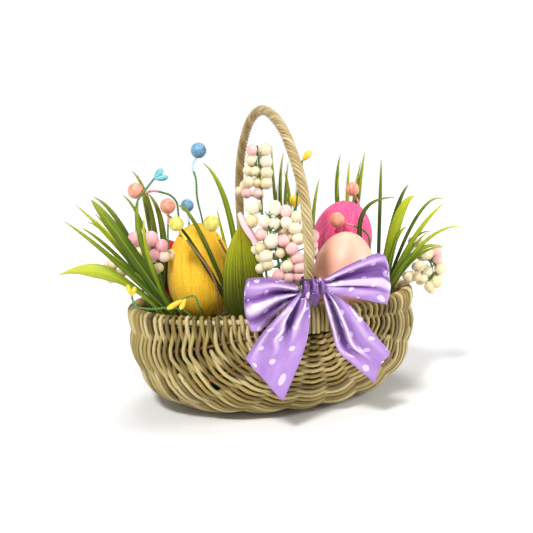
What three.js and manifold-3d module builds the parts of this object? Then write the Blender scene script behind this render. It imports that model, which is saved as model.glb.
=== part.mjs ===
// Easter basket with eggs, berry sprays, foliage and a ribbon bow.
// Millimetres, +Z up, origin at the centre of the flat base, handle in the plane x = 0, front towards -Y.
import * as THREE from 'three';
import Module from 'manifold-3d';

const wasm = await Module();
wasm.setup();

// ---------------------------------------------------------------- driving dimensions
const RIM_LONG = 130;        // rim semi-axis along X
const RIM_SHORT = 105;       // rim semi-axis along Y
const RIM_TOP = 92;          // top of the rim above the base
const BOWL_DEPTH = 95;       // depth of the full bowl shape before the foot is cut flat
const SIDE_POWER = 5.1;      // how straight the sides stay
const FLOOR_POWER = 3.3;     // how fast the wall turns in to the floor
const BELLY = 0.01;          // outward swell of the wall, part of the semi-axis
const WALL = 3.8;            // woven wall thickness
const FLOOR = 4;             // woven floor thickness
const AROUND = 48;           // divisions round the bowl
const HOOP_INSET = 6.25;     // rim hoop centre inside the rim line
const HOOP_Z = 85.4;
const HOOP_R = 2.1;
const RIB_R = 1.6;
const RIB_INSET = 7.2;       // rib centre inside the outer wall surface
const RIB_ORIGIN_Z = 86;     // height of the line the ribs fan out from
const RIB_END = 16;          // degrees the rib ends stop short of the rim
const RIB_FAN = [-78, -60, -42, -22, 0, 22, 42, 60, 78];
const HANDLE_R = 4.7;        // outer radius of the twisted handle
const HANDLE_GROOVE = 0.9;   // groove depth between its strands
const HANDLE_STRANDS = 5;
const HANDLE_PITCH = 62;     // length of one full turn of the twist
const HANDLE_RINGS = 84;
const HANDLE_FOOT_Y = 99;
const HANDLE_FOOT_Z = 92.7;
const LASHING_HALF_ANGLE = 7;
const LASHING = 2.2;         // thickness of the lashing over the rim
const FOAM_BOTTOM = 12;
const FOAM_TOP = 78;
const FOAM_INSET = 14;
const ROOT_Z = 64;           // stems are pushed this deep into the foam
const CROWN_Z = 82;          // where the blades of a tuft spread
const GAP = 0.35;            // clearance between neighbouring pieces
const WIRE_R = 0.8;
const RIBBON = 0.9;          // modelled thickness of the satin ribbon
const BLADE_THICK = 1.1;

// ---------------------------------------------------------------- colours
const COLOURS = {
  weave: '#b5a77c', handle: '#d2c49b', rib: '#a9713a', hoop: '#bda878', lashing: '#b5a77c', foam: '#3f6b46',
  moss: '#6f7f3a', yellow: '#e3b52c', magenta: '#d43a86', blush: '#efa69b', red: '#b8322a',
  berry: '#f1e6dc', pinkBerry: '#eec3c6', peach: '#e2937a', blue: '#6c9cb8', bead: '#dcc84f',
  wire: '#5f9a4a', pinkWire: '#d87f86', grass: '#3f6b2c', paleGrass: '#6d9440', leaf: '#54762f',
  dark: '#2c4f27', satin: '#a98bd0',
};

// ---------------------------------------------------------------- helpers
const v = (x, y, z) => new THREE.Vector3(x, y, z);
const toV = (p) => v(p[0], p[1], p[2]);
const rad = THREE.MathUtils.degToRad;

// closed solid from points and triangles, turned so that the faces look out
function solid(points, faces) {
  let volume = 0;
  for (const [a, b, c] of faces) volume += points[a].dot(points[b].clone().cross(points[c]));
  const tris = volume > 0 ? faces : faces.map(([a, b, c]) => [a, c, b]);
  const mesh = new wasm.Mesh({
    numProp: 3,
    vertProperties: new Float32Array(points.flatMap((p) => [p.x, p.y, p.z])),
    triVerts: new Uint32Array(tris.flat()),
  });
  return new wasm.Manifold(mesh);
}

// closed skin over a stack of rings; a ring of one point closes to a tip
function loft(rings, wrapAround = false) {
  const points = [];
  const faces = [];
  const start = rings.map((ring) => {
    points.push(...ring);
    return points.length - ring.length;
  });
  const spans = wrapAround ? rings.length : rings.length - 1;
  for (let i = 0; i < spans; i++) {
    const next = (i + 1) % rings.length;
    const a = rings[i].length;
    const b = rings[next].length;
    const n = Math.max(a, b);
    for (let j = 0; j < n; j++) {
      const k = (j + 1) % n;
      const p = start[i] + (a === 1 ? 0 : j);
      const q = start[i] + (a === 1 ? 0 : k);
      const r = start[next] + (b === 1 ? 0 : j);
      const s = start[next] + (b === 1 ? 0 : k);
      if (p !== q) faces.push([p, q, r]);
      if (r !== s) faces.push([q, s, r]);
    }
  }
  return solid(points, faces);
}

// directions across a path that turn with it as little as possible
function frames(path, first) {
  let side = first.clone();
  return path.map((p, i) => {
    const before = path[Math.max(i - 1, 0)];
    const after = path[Math.min(i + 1, path.length - 1)];
    const along = after.clone().sub(before).normalize();
    side = side.clone().addScaledVector(along, -side.dot(along)).normalize();
    return { p, along, side, across: along.clone().cross(side) };
  });
}

// rod along a path with flat ends; radius(angle, part) gives its section
function rod(path, radius, sides) {
  const size = typeof radius === 'number' ? () => radius : radius;
  const first = Math.abs(path[1].clone().sub(path[0]).normalize().x) > 0.8 ? v(0, 0, 1) : v(1, 0, 0);
  const rings = frames(path, first).map(({ p, side, across }, i) => {
    const ring = [];
    for (let j = 0; j < sides; j++) {
      const angle = (2 * Math.PI * j) / sides;
      const r = size(angle, i / (path.length - 1));
      const out = p.clone().addScaledVector(side, r * Math.cos(angle));
      ring.push(out.addScaledVector(across, r * Math.sin(angle)));
    }
    return ring;
  });
  return loft([[path[0]], ...rings, [path[path.length - 1]]]);
}

// smooth path up from a root [x, y] that runs straight out of the foam and then through the given points
function stemPath([x, y], points, count) {
  const all = [[x, y, ROOT_Z], [x, y, FOAM_TOP + 1], ...points];
  return new THREE.CatmullRomCurve3(all.map(toV), false, 'centripetal').getPoints(count);
}

// round ball from a subdivided icosahedron
function ball(x, y, z, r, detail = 0) {
  const source = new THREE.IcosahedronGeometry(r, detail).getAttribute('position');
  const points = [];
  const faces = [];
  const seen = new Map();
  const index = [];
  for (let i = 0; i < source.count; i++) {
    const p = v(source.getX(i), source.getY(i), source.getZ(i));
    const key = [p.x, p.y, p.z].map((c) => Math.round(c * 1000)).join();
    if (!seen.has(key)) {
      seen.set(key, points.length);
      points.push(p.add(v(x, y, z)));
    }
    index.push(seen.get(key));
  }
  for (let i = 0; i < index.length; i += 3) faces.push([index[i], index[i + 1], index[i + 2]]);
  return solid(points, faces);
}

const join = (parts) => parts.reduce((whole, part) => whole.add(part));
const cutAll = (body, cutters) => cutters.reduce((rest, cutter) => rest.subtract(cutter), body);

function piece(name, body, colour, roughness = 0.7) {
  const { vertProperties, triVerts } = body.getMesh();
  const geometry = new THREE.BufferGeometry();
  geometry.setAttribute('position', new THREE.BufferAttribute(new Float32Array(vertProperties), 3));
  geometry.setIndex(Array.from(triVerts));
  geometry.computeVertexNormals();
  const mesh = new THREE.Mesh(geometry, new THREE.MeshStandardMaterial({ color: colour, roughness }));
  mesh.name = name;
  return mesh;
}

// ---------------------------------------------------------------- bowl surface
function bowlScale(z) {
  const depth = Math.min(Math.max((RIM_TOP - z) / BOWL_DEPTH, 0), 1);
  const swell = 1 + BELLY * 4 * depth * (1 - depth);
  return swell * (1 - depth ** FLOOR_POWER) ** (1 / SIDE_POWER);
}

function bowlPoint(angle, inset, z) {
  const scale = bowlScale(z);
  const x = (RIM_LONG * scale - inset) * Math.cos(angle);
  const y = (RIM_SHORT * scale - inset) * Math.sin(angle);
  return v(x, y, z);
}

const bowlRing = ([inset, z]) =>
  Array.from({ length: AROUND }, (_, i) => bowlPoint((2 * Math.PI * i) / AROUND, inset, z));

function wovenBody() {
  const levels = [0, 3, 8, 15, 24, 36, 50, 66, 80];
  const outside = levels.map((z) => [0, z]);
  const lap = [
    [0, 88.5], [2, 91.2], [5.5, RIM_TOP], [9, 91.2], [11, 88.5], [11, 81.5], [9, 81.5], [9, 88], [3.8, 88],
  ];
  const inside = [76, 60, 44, 30, 20, 12, 7, FLOOR].map((z) => [WALL, z]);
  const rings = [...outside, ...lap, ...inside].map(bowlRing);
  return loft([[v(0, 0, 0)], ...rings, [v(0, 0, FLOOR)]]);
}

function rimHoop() {
  const rings = Array.from({ length: AROUND }, (_, i) => {
    const angle = (2 * Math.PI * i) / AROUND;
    return Array.from({ length: 6 }, (_unused, j) => {
      const turn = (2 * Math.PI * j) / 6;
      return bowlPoint(angle, HOOP_INSET + HOOP_R * Math.cos(turn), HOOP_Z + HOOP_R * Math.sin(turn));
    });
  });
  return loft(rings, true);
}

// one rib, fanned out by `lean` degrees about the line between the two handle feet
function rib(lean) {
  const stations = 17;
  const sink = v(Math.sin(rad(lean)), 0, -Math.cos(rad(lean)));
  const inside = (p) => {
    if (p.z < FLOOR + RIB_INSET - WALL) return false;
    const scale = bowlScale(p.z);
    const x = p.x / (RIM_LONG * scale - RIB_INSET);
    const y = p.y / (RIM_SHORT * scale - RIB_INSET);
    return x * x + y * y < 1;
  };
  const path = Array.from({ length: stations }, (_, i) => {
    const angle = rad(RIB_END + ((180 - 2 * RIB_END) * i) / (stations - 1));
    const ray = sink.clone().multiplyScalar(Math.sin(angle)).add(v(0, -Math.cos(angle), 0));
    let near = 0;
    let far = RIM_LONG + RIM_SHORT;
    for (let step = 0; step < 40; step++) {
      const middle = (near + far) / 2;
      if (inside(ray.clone().multiplyScalar(middle).add(v(0, 0, RIB_ORIGIN_Z)))) near = middle;
      else far = middle;
    }
    return ray.multiplyScalar(near).add(v(0, 0, RIB_ORIGIN_Z));
  });
  return rod(path, RIB_R, 5);
}

// ---------------------------------------------------------------- handle
const HANDLE_PATH = [
  [-99, HANDLE_FOOT_Z], [-99.5, 110], [-102, 132], [-102.5, 155], [-99, 176], [-90, 195], [-75, 214],
  [-56, 231],
  [-34, 243], [-12, 250], [10, 251], [32, 246.5], [52, 237], [69, 223], [82, 206], [90, 188], [94, 168],
  [95, 148], [96, 128], [98, 110], [99, HANDLE_FOOT_Z],
];

function handleRope() {
  const points = HANDLE_PATH.map(([y, z]) => v(0, y, z));
  const curve = new THREE.CatmullRomCurve3(points, false, 'centripetal');
  const turns = curve.getLength() / HANDLE_PITCH;
  const middle = HANDLE_R - HANDLE_GROOVE / 2;
  const section = (angle, part) => {
    const twist = 2 * Math.PI * turns * part;
    return middle + (HANDLE_GROOVE / 2) * Math.cos(HANDLE_STRANDS * (angle - twist));
  };
  return rod(curve.getSpacedPoints(HANDLE_RINGS), section, 2 * HANDLE_STRANDS);
}

// strap over the rim that ties the handle foot down; `facing` is -90 at the front, 90 at the back
function lashing(facing) {
  const front = -1.2;
  const back = 13.6 + GAP;
  const outer = [[front - LASHING, 70], [front - LASHING, 91], [2, 95.2], [9, 95.2], [back, 91], [back, 78]];
  const inner = [[back - LASHING, 78], [back - LASHING, 90], [9, 92.5], [2, 92.5], [front, 90], [front, 70]];
  const steps = 4;
  const rings = Array.from({ length: steps + 1 }, (_, i) => {
    const angle = rad(facing - LASHING_HALF_ANGLE + (2 * LASHING_HALF_ANGLE * i) / steps);
    return [...outer, ...inner].map(([inset, z]) => bowlPoint(angle, inset, z));
  });
  const body = capped(rings);
  const y = Math.sign(facing) * HANDLE_FOOT_Y;
  return body.subtract(rod([v(0, y, 85), v(0, y, 100)], HANDLE_R + 0.9, 12));
}

// loft with flat end faces cut up by the triangulator, for sections that are not convex
function capped(rings) {
  const points = rings.flat();
  const n = rings[0].length;
  const faces = [];
  for (let i = 0; i + 1 < rings.length; i++) {
    for (let j = 0; j < n; j++) {
      const k = (j + 1) % n;
      faces.push([i * n + j, i * n + k, (i + 1) * n + j], [i * n + k, (i + 1) * n + k, (i + 1) * n + j]);
    }
  }
  const half = n / 2;
  const last = (rings.length - 1) * n;
  for (let j = 0; j + 1 < half; j++) {
    const a = j;
    const b = j + 1;
    const c = n - 2 - j;
    const d = n - 1 - j;
    faces.push([a, d, b], [b, d, c], [last + a, last + b, last + d], [last + b, last + c, last + d]);
  }
  return solid(points, faces);
}

// ---------------------------------------------------------------- eggs
// centre, tilt of the long axis, radius, height above and below the widest level
const EGGS = {
  egg_yellow: { at: [-69, -23, 112], tilt: [0, 0, 1], r: 28, up: 48, down: 34, colour: 'yellow', rough: 0.8 },
  egg_magenta: {
    at: [73, 9, 130], tilt: [0.24, -0.06, 1], r: 28, up: 38, down: 32, colour: 'magenta', rough: 0.75,
  },
  egg_blush: {
    at: [45, -61, 109], tilt: [0.16, -0.04, 1], r: 26, up: 37, down: 31, colour: 'blush', rough: 0.6,
  },
  egg_red: {
    at: [-86, 38, 111], tilt: [-0.08, 0.05, 1], r: 22, up: 32, down: 31.5, colour: 'red', rough: 0.75,
  },
};

function egg({ at, tilt, r, up, down }, grow = 0, sides = 16) {
  const axis = toV(tilt).normalize();
  const side = v(1, 0, 0).addScaledVector(axis, -axis.x).normalize();
  const across = axis.clone().cross(side);
  const levels = 10;
  const rings = [];
  for (let i = 0; i <= levels; i++) {
    const angle = -Math.PI / 2 + (Math.PI * i) / levels;
    const rise = Math.sin(angle) * ((angle > 0 ? up : down) + grow);
    const radius = Math.cos(angle) * (r + grow);
    const centre = toV(at).addScaledVector(axis, rise);
    if (i === 0 || i === levels) {
      rings.push([centre]);
      continue;
    }
    rings.push(Array.from({ length: sides }, (_, j) => {
      const turn = (2 * Math.PI * j) / sides;
      const out = centre.clone().addScaledVector(side, radius * Math.cos(turn));
      return out.addScaledVector(across, radius * Math.sin(turn));
    }));
  }
  return loft(rings);
}

// cushion of moss on the foam with a cup for an egg
function mossPad(x, y, r, top, cup) {
  const ring = (radius, z) => Array.from({ length: 12 }, (_, i) => {
    const turn = (2 * Math.PI * i) / 12;
    return v(x + radius * Math.cos(turn), y + radius * Math.sin(turn), z);
  });
  const bottom = FOAM_TOP + GAP;
  const rings = [ring(r, bottom), ring(r - 1, (bottom + top) / 2), ring(r - 4, top)];
  return loft([[v(x, y, bottom)], ...rings, [v(x, y, top)]]).subtract(egg(cup, 0.4));
}

// ---------------------------------------------------------------- wires and beads
const WIRES = {
  blue_tall: {
    root: [-52, 12], colour: 'wire', bead: [-56, 11, 220, 6.5], shade: 'blue',
    path: [[-53, 13, 120], [-57, 12, 160], [-60, 12, 179], [-60, 12, 196], [-62, 13, 207], [-59, 12, 212.5]],
  },
  blue_small: {
    root: [-66, 12], colour: 'wire', bead: [-69, 14, 173, 5.6], shade: 'blue',
    path: [[-68, 12, 120], [-69, 13, 166]],
  },
  peach_left: {
    root: [-78, 10], colour: 'pinkWire', bead: [-114, 4, 189, 6.8], shade: 'peach',
    path: [
      [-78, 11, 140], [-78, 11, 168], [-79, 10, 177], [-84, 8, 183], [-91, 5, 186], [-99, 3, 188],
      [-106, 4, 187],
    ],
  },
  peach_middle: {
    root: [-92, 2], colour: 'wire', bead: [-87, 9, 174, 6.6], shade: 'peach',
    path: [[-91, 4, 120], [-89, 8, 150], [-87, 9, 166.5]],
  },
  yellow_left: {
    root: [-64, -52], colour: 'wire', bead: [-95, -69, 164, 5.8], shade: 'bead',
    path: [[-65, -64, 106], [-71, -68, 125], [-79, -69, 138], [-88, -69, 151], [-92, -69, 157.5]],
  },
  yellow_right: {
    root: [-40, -50], colour: 'wire', bead: [-67, -67, 162, 6.4], shade: 'bead',
    path: [[-41, -51, 110], [-47, -55, 125], [-55, -58.5, 138], [-61, -64, 149], [-64, -66.3, 155.3]],
  },
  peach_back: {
    root: [106, 30], colour: 'wire', bead: [99, 39, 176, 6.7], shade: 'peach',
    path: [[107, 36, 128], [106, 37, 140], [100, 38, 148], [96, 40, 156], [105, 38, 162], [102, 39, 168]],
  },
  peach_front: {
    root: [82, -28], colour: 'pinkWire', bead: [56, -25, 153, 6.6], shade: 'peach',
    path: [[84, -30, 120], [82, -31, 138], [74, -29, 145], [63, -26, 149.5]],
  },
};

// bare wire that ends in a small bud: root, bud as x, y, z, radius, and the path between
const TALL_BUD_WIRE = {
  root: [-110, -6], bud: [-98, 4, 198, 2.6],
  path: [[-116, -9, 100], [-118, -9, 158], [-115, -7, 180], [-107, -2, 189], [-98, 4, 198]],
};

// two curled wires from one root that lie on the rim at the left
const RIM_WIRE_ROOT = [-82, -54];
const RIM_WIRES = [
  {
    root: RIM_WIRE_ROOT, bud: [-106, -66, 99, 2.4],
    path: [[-79, -65, 92], [-83, -74, 99], [-86, -73, 107], [-92, -70, 106], [-106, -66, 99]],
  },
  {
    root: RIM_WIRE_ROOT, bud: [-131, -43, 115, 2.4],
    path: [
      [-90, -53, 92], [-101, -52, 96], [-110, -54, 97], [-119, -51, 97], [-127, -47, 99], [-130, -44, 104],
      [-131, -43, 115],
    ],
  },
];

const wire = ({ root, path }) => rod(stemPath(root, path, 10), WIRE_R, 5);
const budWire = (spec) => wire(spec).add(ball(...spec.bud));
const bead = ([x, y, z, r]) => ball(x, y, z, r, 1);

// ---------------------------------------------------------------- berry sprays
// stem path and berries as x, y, z, radius
const SPRAYS = {
  berries_tall: {
    colour: 'pinkBerry', root: [6, 34], stem: [[6, 36, 120], [7, 40, 170], [6, 40, 222]],
    berries: [
      [1, 41, 218, 4.8], [13, 38, 218, 5.6], [0, 42, 209, 4.8], [13, 38, 207, 5.6], [-4, 43, 200, 4],
      [3, 42, 199, 4.6],
      [13, 38, 197, 5.4], [-4, 43, 189, 5.2], [12, 38, 187, 5.4], [4, 41, 188, 4], [-6, 44, 179, 4.6],
      [4, 41, 178, 4.6],
    ],
  },
  berries_front: {
    colour: 'berry', root: [-14, -66],
    stem: [[-13, -68, 110], [-18, -74, 140], [-26, -73, 165], [-33, -71, 176]],
    berries: [
      [-34, -71, 173, 5.6], [-26, -74, 161, 4.8], [-35, -71, 162, 4.6], [-18, -76, 159, 4.4],
      [-17, -76, 170, 4.8],
      [-9, -79, 159, 4.8], [-21, -75, 145, 5.6], [-26, -74, 133, 5.1], [-25, -74, 126, 4.4],
      [-10, -79, 124, 4.8],
      [-30, -72, 140, 4.2], [-29, -73, 151, 4.4], [-12, -78, 145, 4.8], [-6, -80, 138, 5],
      [-2, -81, 130, 4.8],
      [-1, -82, 122, 4.8], [-17, -76, 117, 4.8], [-9, -78, 115, 4.6], [-1, -81, 115, 4.4],
      [-9, -79, 168, 4.6],
      [-1, -81, 163, 4.4], [-3, -81, 154, 4.8], [-1, -81, 146, 4.6], [-15, -77, 135, 3.6],
      [11, -83, 147, 4.8],
      [10, -83, 140, 4.6], [9, -83, 133, 4.6],
    ],
  },
  berries_left: {
    colour: 'pinkBerry', root: [-100, -20], stem: [[-103, -28, 115], [-108, -33, 140], [-114, -32, 154]],
    berries: [
      [-122, -30, 152, 5.6], [-110, -33, 151, 6], [-102, -36, 145, 4.8], [-108, -34, 138, 4.7],
      [-120, -31, 141, 4],
      [-101, -36, 136, 4.4], [-106, -34, 127, 4],
    ],
  },
  berries_left_outer: {
    colour: 'berry', root: [-110, -14],
    stem: [[-113, -14, 94], [-120, -15, 106], [-132, -18, 116], [-140, -20, 127]],
    berries: [[-141, -20, 131, 4.2], [-137, -21, 122, 4.6], [-132, -16, 125, 4]],
  },
  berries_right: {
    colour: 'berry', root: [98, -30],
    stem: [[100, -32, 94], [108, -38, 106], [122, -45, 116], [133, -48, 112], [136, -50, 96]],
    berries: [
      [124, -46, 128, 4.4], [131, -48, 119, 5.6], [139, -51, 121, 5], [140, -51, 113, 4.4],
      [124, -47, 108, 4.4],
      [131, -48, 103, 4.6], [142, -52, 105, 5.4], [121, -46, 99, 4.4], [114, -43, 99, 4.4],
      [138, -50, 93, 5.6],
      [132, -49, 89, 4.4], [127, -47, 97, 4.2],
    ],
  },
};

function spray({ root, stem, berries }) {
  const path = stemPath(root, stem, 12);
  const parts = [rod(path, 1.1, 5)];
  for (const [x, y, z, r] of berries) {
    const at = v(x, y, z);
    const low = at.clone().add(v(0, 0, -6));
    const joint = path.reduce((best, p) => (p.distanceTo(low) < best.distanceTo(low) ? p : best));
    parts.push(ball(x, y, z, r), rod([joint, at], 0.6, 3));
  }
  return join(parts);
}

// ---------------------------------------------------------------- blades and leaves
// a tuft: crown position, then blades as [bend x, y, z], [tip x, y, z], width
const TUFTS = {
  grass_left_front: {
    root: [-92, -42], colour: 'grass', blades: [
      [[-140, -43, 135], [-177, -38, 171], 8], [[-134, -31, 143], [-166, -22, 182], 7],
      [[-138, -37, 139], [-164, -31, 164], 6], [[-135, -53, 153], [-156, -57, 186], 13],
      [[-119, -57, 144], [-121, -60, 182], 9],
    ],
  },
  leaf_low_left: { root: [-98, -33], colour: 'leaf', blades: [[[-143, -29, 123], [-185, -8, 125], 10]] },
  grass_left_back: {
    root: [-99, 14], colour: 'dark', blades: [
      [[-133, -4, 142], [-156, 1, 166], 6], [[-126, 2, 155], [-149, 8, 186], 8], [[-108, 14, 152],
      [-124, 18, 186], 6],
      [[-101, 13, 164], [-114, 18, 206], 8], [[-92, 14, 150], [-102, 20, 186], 10], [[-104, 20, 166],
      [-110, 16, 202], 6],
    ],
  },
  leaf_tall_centre: {
    root: [-28, 4], colour: 'paleGrass', blades: [
      [[-34, 7, 166], [-52, 14, 209], 9], [[-38, 12, 138], [-42, 16, 169], 5],
    ],
  },
  grass_centre: {
    root: [-48, -58], colour: 'leaf', blades: [
      [[-83, -57, 148], [-101, -58, 171], 6], [[-74, -53, 156], [-90, -52, 176], 6], [[-78, -62, 138],
      [-93, -63, 154], 6],
    ],
  },
  grass_back: {
    root: [33, 55], colour: 'dark', blades: [
      [[25, 55, 170], [25, 55, 222], 6], [[32, 60, 165], [38, 60, 215], 7], [[37, 63, 155],
      [43, 62, 206], 6],
      [[38, 51, 145], [34, 49, 198], 6], [[41, 48, 140], [43, 43, 184], 5],
    ],
  },
  leaf_handle: { root: [30, -20], colour: 'paleGrass', blades: [[[34, -22, 148], [41, -25, 190], 7]] },
  grass_right_back: {
    root: [95, 44], colour: 'grass', blades: [
      [[84, 42, 160], [88, 38, 210], 8], [[99, 53, 155], [103, 52, 203], 7], [[92, 50, 130],
      [93, 47, 167], 5],
      [[108, 49, 160], [116, 44, 211], 8],
    ],
  },
  grass_right_middle: {
    root: [86, -38], colour: 'dark', blades: [
      [[95, -31, 160], [98, -30, 203], 6], [[72, -38, 150], [103, -46, 170], 7], [[102, -42, 149],
      [117, -43, 180], 8],
    ],
  },
  grass_right_front: {
    root: [85, -48], colour: 'grass', blades: [
      [[97, -59, 148], [111, -65, 171], 13], [[114, -57, 134], [141, -62, 163], 8], [[119, -50, 150],
      [145, -54, 166], 5],
      [[116, -68, 130], [149, -76, 143], 6], [[107, -64, 120], [133, -72, 127], 8],
    ],
  },
};

// blade with a raised middle rib; `wide(part)` scales its width from root to tip
function blade(root, bend, tip, width, facing, wide = (s) => Math.min(1, 0.5 + 3 * s) * (1 - s ** 2.4)) {
  const control = bend.clone().multiplyScalar(2).addScaledVector(root, -0.5).addScaledVector(tip, -0.5);
  const path = new THREE.QuadraticBezierCurve3(root, control, tip).getPoints(6);
  const rings = path.slice(0, -1).map((p, i) => {
    const along = path[i + 1].clone().sub(path[Math.max(i - 1, 0)]).normalize();
    const side = along.clone().cross(facing).normalize().multiplyScalar((width / 2) * wide(i / 6));
    const out = along.clone().cross(side).normalize().multiplyScalar(BLADE_THICK / 2);
    return [p.clone().add(side), p.clone().add(out), p.clone().sub(side), p.clone().sub(out)];
  });
  return loft([[path[0]], ...rings, [path[path.length - 1]]]);
}

function stub([x, y], grow = 0) {
  return rod([v(x, y, ROOT_Z - grow), v(x, y, CROWN_Z)], 2.6 + grow, 8);
}

function tuft({ root, blades }) {
  const [x, y] = root;
  const parts = blades.map(([bend, tip, width], i) => {
    const lean = rad(17 + 18 * Math.sin(2.4 * i + x));
    const facing = v(-Math.sin(lean), -Math.cos(lean), 0.15).normalize();
    return blade(v(x, y, CROWN_Z - 3), toV(bend), toV(tip), width, facing);
  });
  return join([stub(root), ...parts]);
}

const LEAF_ROOT = [-40, -62];

function broadLeaf() {
  const facing = v(0.1, -1, 0.1).normalize();
  const ovate = (s) => Math.min(1, 0.55 + 1.8 * s) * (1 - s ** 3.2) ** 0.9;
  const body = blade(v(...LEAF_ROOT, CROWN_Z - 3), v(-42, -62, 118), v(-42, -61, 158), 38, facing, ovate);
  return join([stub(LEAF_ROOT), body]);
}

// ---------------------------------------------------------------- bow
const KNOT = [-4, -113, 109];

function bowKnot() {
  const [x, y, z] = KNOT;
  const ring = (dx, half, deep) => Array.from({ length: 8 }, (_, i) => {
    const turn = (2 * Math.PI * (i + 0.5)) / 8;
    return v(x + dx, y + deep * Math.cos(turn), z + half * Math.sin(turn));
  });
  const rings = [ring(-9, 6.5, 3.6), ring(-5, 9, 5), ring(0, 8.4, 5.2), ring(5, 9, 5), ring(9, 6.5, 3.6)];
  return loft([[v(x - 9, y, z)], ...rings, [v(x + 9, y, z)]]);
}

// ribbon turn round the front foot of the handle, behind the knot
function bowBand() {
  const ring = (r, z) => Array.from({ length: 14 }, (_, i) => {
    const turn = (2 * Math.PI * i) / 14;
    return v(r * Math.cos(turn), -HANDLE_FOOT_Y - 0.6 + r * Math.sin(turn), z);
  });
  return loft([ring(5.7, 101), ring(6.8, 101), ring(6.8, 117), ring(5.7, 117)], true);
}

// ribbon from pairs of edge points, rippled across its width
function ribbon(pairs, ripple, waves = 1.5) {
  const across = 5;
  const middle = pairs.map(([a, b]) => a.clone().add(b).multiplyScalar(0.5));
  const rings = pairs.map(([a, b], i) => {
    const along = middle[Math.min(i + 1, middle.length - 1)].clone().sub(middle[Math.max(i - 1, 0)]);
    const normal = along.cross(b.clone().sub(a)).normalize();
    const front = [];
    const back = [];
    for (let j = 0; j <= across; j++) {
      const wave = ripple * Math.sin(2 * Math.PI * waves * (j / across)) * (1 - 0.5 * (i / pairs.length));
      const p = a.clone().lerp(b, j / across);
      front.push(p.clone().addScaledVector(normal, wave + RIBBON / 2));
      back.unshift(p.clone().addScaledVector(normal, wave - RIBBON / 2));
    }
    return [...front, ...back];
  });
  return capped(rings);
}

// loop that leaves the knot, turns at its far end and comes back behind itself
function bowLoop(from, to, spread) {
  const reach = to.clone().sub(from);
  const depth = v(-0.1, -1, 0).normalize();
  const steps = 14;
  const pairs = Array.from({ length: steps + 1 }, (_, i) => {
    const s = i / steps;
    const out = Math.sin(Math.PI * s);
    const centre = from.clone().addScaledVector(reach, out);
    centre.addScaledVector(depth, 6.5 * Math.sin(2 * Math.PI * s) + 1.6 * Math.cos(Math.PI * s));
    const half = 5.5 + spread * out ** 0.8;
    const tall = v(-0.06 * Math.sign(reach.x), 0, 1).multiplyScalar(half);
    return [centre.clone().add(tall), centre.clone().sub(tall)];
  });
  return ribbon(pairs, 0.8);
}

const edges = (rows) => rows.map(([a, b]) => [toV(a), toV(b)]);

function bowTailLeft() {
  return ribbon(edges([
    [[-11, -113, 98.5], [-4, -114, 96.5]], [[-27, -112, 88], [-9, -114, 82]],
    [[-42, -112, 74], [-14, -114, 60]], [[-56, -110, 60], [-30, -113, 24]],
  ]), 1.6);
}

function bowTailRight() {
  return ribbon(edges([
    [[1, -114, 96.5], [9, -114, 98.5]], [[8, -115, 83], [27, -117, 90]],
    [[15, -116, 63], [44, -119, 70]], [[44, -118, 28], [58, -121, 51]],
  ]), 1.6);
}

// ---------------------------------------------------------------- foam block
function floralFoam() {
  const levels = [FOAM_BOTTOM, 16, 22, 32, 48, FOAM_TOP];
  const rings = levels.map((z) => bowlRing([FOAM_INSET, z]));
  const block = loft([[v(0, 0, FOAM_BOTTOM)], ...rings, [v(0, 0, FOAM_TOP)]]);
  const stem = ([x, y], r) => rod([v(x, y, ROOT_Z - 1), v(x, y, FOAM_TOP + 2)], r, 5);
  const stemmed = [...Object.values(WIRES), ...Object.values(SPRAYS), TALL_BUD_WIRE, RIM_WIRES[0]];
  const cutters = [
    ...Object.values(EGGS).map((e) => egg(e, 0.5)),
    ...Object.values(TUFTS).map(({ root }) => stub(root, 0.5)),
    stub(LEAF_ROOT, 0.5),
    ...stemmed.map(({ root }) => stem(root, 2)),
  ];
  return cutAll(block, cutters);
}

// ---------------------------------------------------------------- assembly
function assemble() {
  const basket = new THREE.Group();
  basket.name = 'easter_basket';
  const add = (...args) => basket.add(piece(...args));

  add('woven_body', wovenBody(), COLOURS.weave, 0.55);
  add('rim_hoop', rimHoop(), COLOURS.hoop);
  RIB_FAN.forEach((lean, i) => add(`rib_${i + 1}`, rib(lean), COLOURS.rib));
  add('handle_rope', handleRope(), COLOURS.handle, 0.55);
  add('lashing_front', lashing(-90), COLOURS.lashing);
  add('lashing_back', lashing(90), COLOURS.lashing);
  add('floral_foam', floralFoam(), COLOURS.foam, 0.9);
  add('moss_pad', mossPad(67, 10, 20, 104, EGGS.egg_magenta), COLOURS.moss, 0.95);
  for (const [name, spec] of Object.entries(EGGS)) add(name, egg(spec), COLOURS[spec.colour], spec.rough);
  for (const [name, spec] of Object.entries(SPRAYS)) add(name, spray(spec), COLOURS[spec.colour]);
  for (const [name, spec] of Object.entries(WIRES)) {
    add(`wire_${name}`, wire(spec), COLOURS[spec.colour]);
    add(`bead_${name}`, bead(spec.bead), COLOURS[spec.shade]);
  }
  add('wire_bud_tall', budWire(TALL_BUD_WIRE), COLOURS.wire);
  add('wire_bud_rim', join(RIM_WIRES.map(budWire)), COLOURS.wire);
  for (const [name, spec] of Object.entries(TUFTS)) add(name, tuft(spec), COLOURS[spec.colour]);
  add('leaf_broad', broadLeaf(), COLOURS.leaf);
  add('bow_band', bowBand(), COLOURS.satin, 0.35);
  add('bow_knot', bowKnot(), COLOURS.satin, 0.35);
  add('bow_loop_left', bowLoop(v(-15, -113, 109), v(-53, -113, 99), 15), COLOURS.satin, 0.35);
  add('bow_loop_right', bowLoop(v(7, -114, 109), v(56, -121, 113), 14.5), COLOURS.satin, 0.35);
  add('bow_tail_left', bowTailLeft(), COLOURS.satin, 0.35);
  add('bow_tail_right', bowTailRight(), COLOURS.satin, 0.35);
  return basket;
}

export default assemble();
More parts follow.
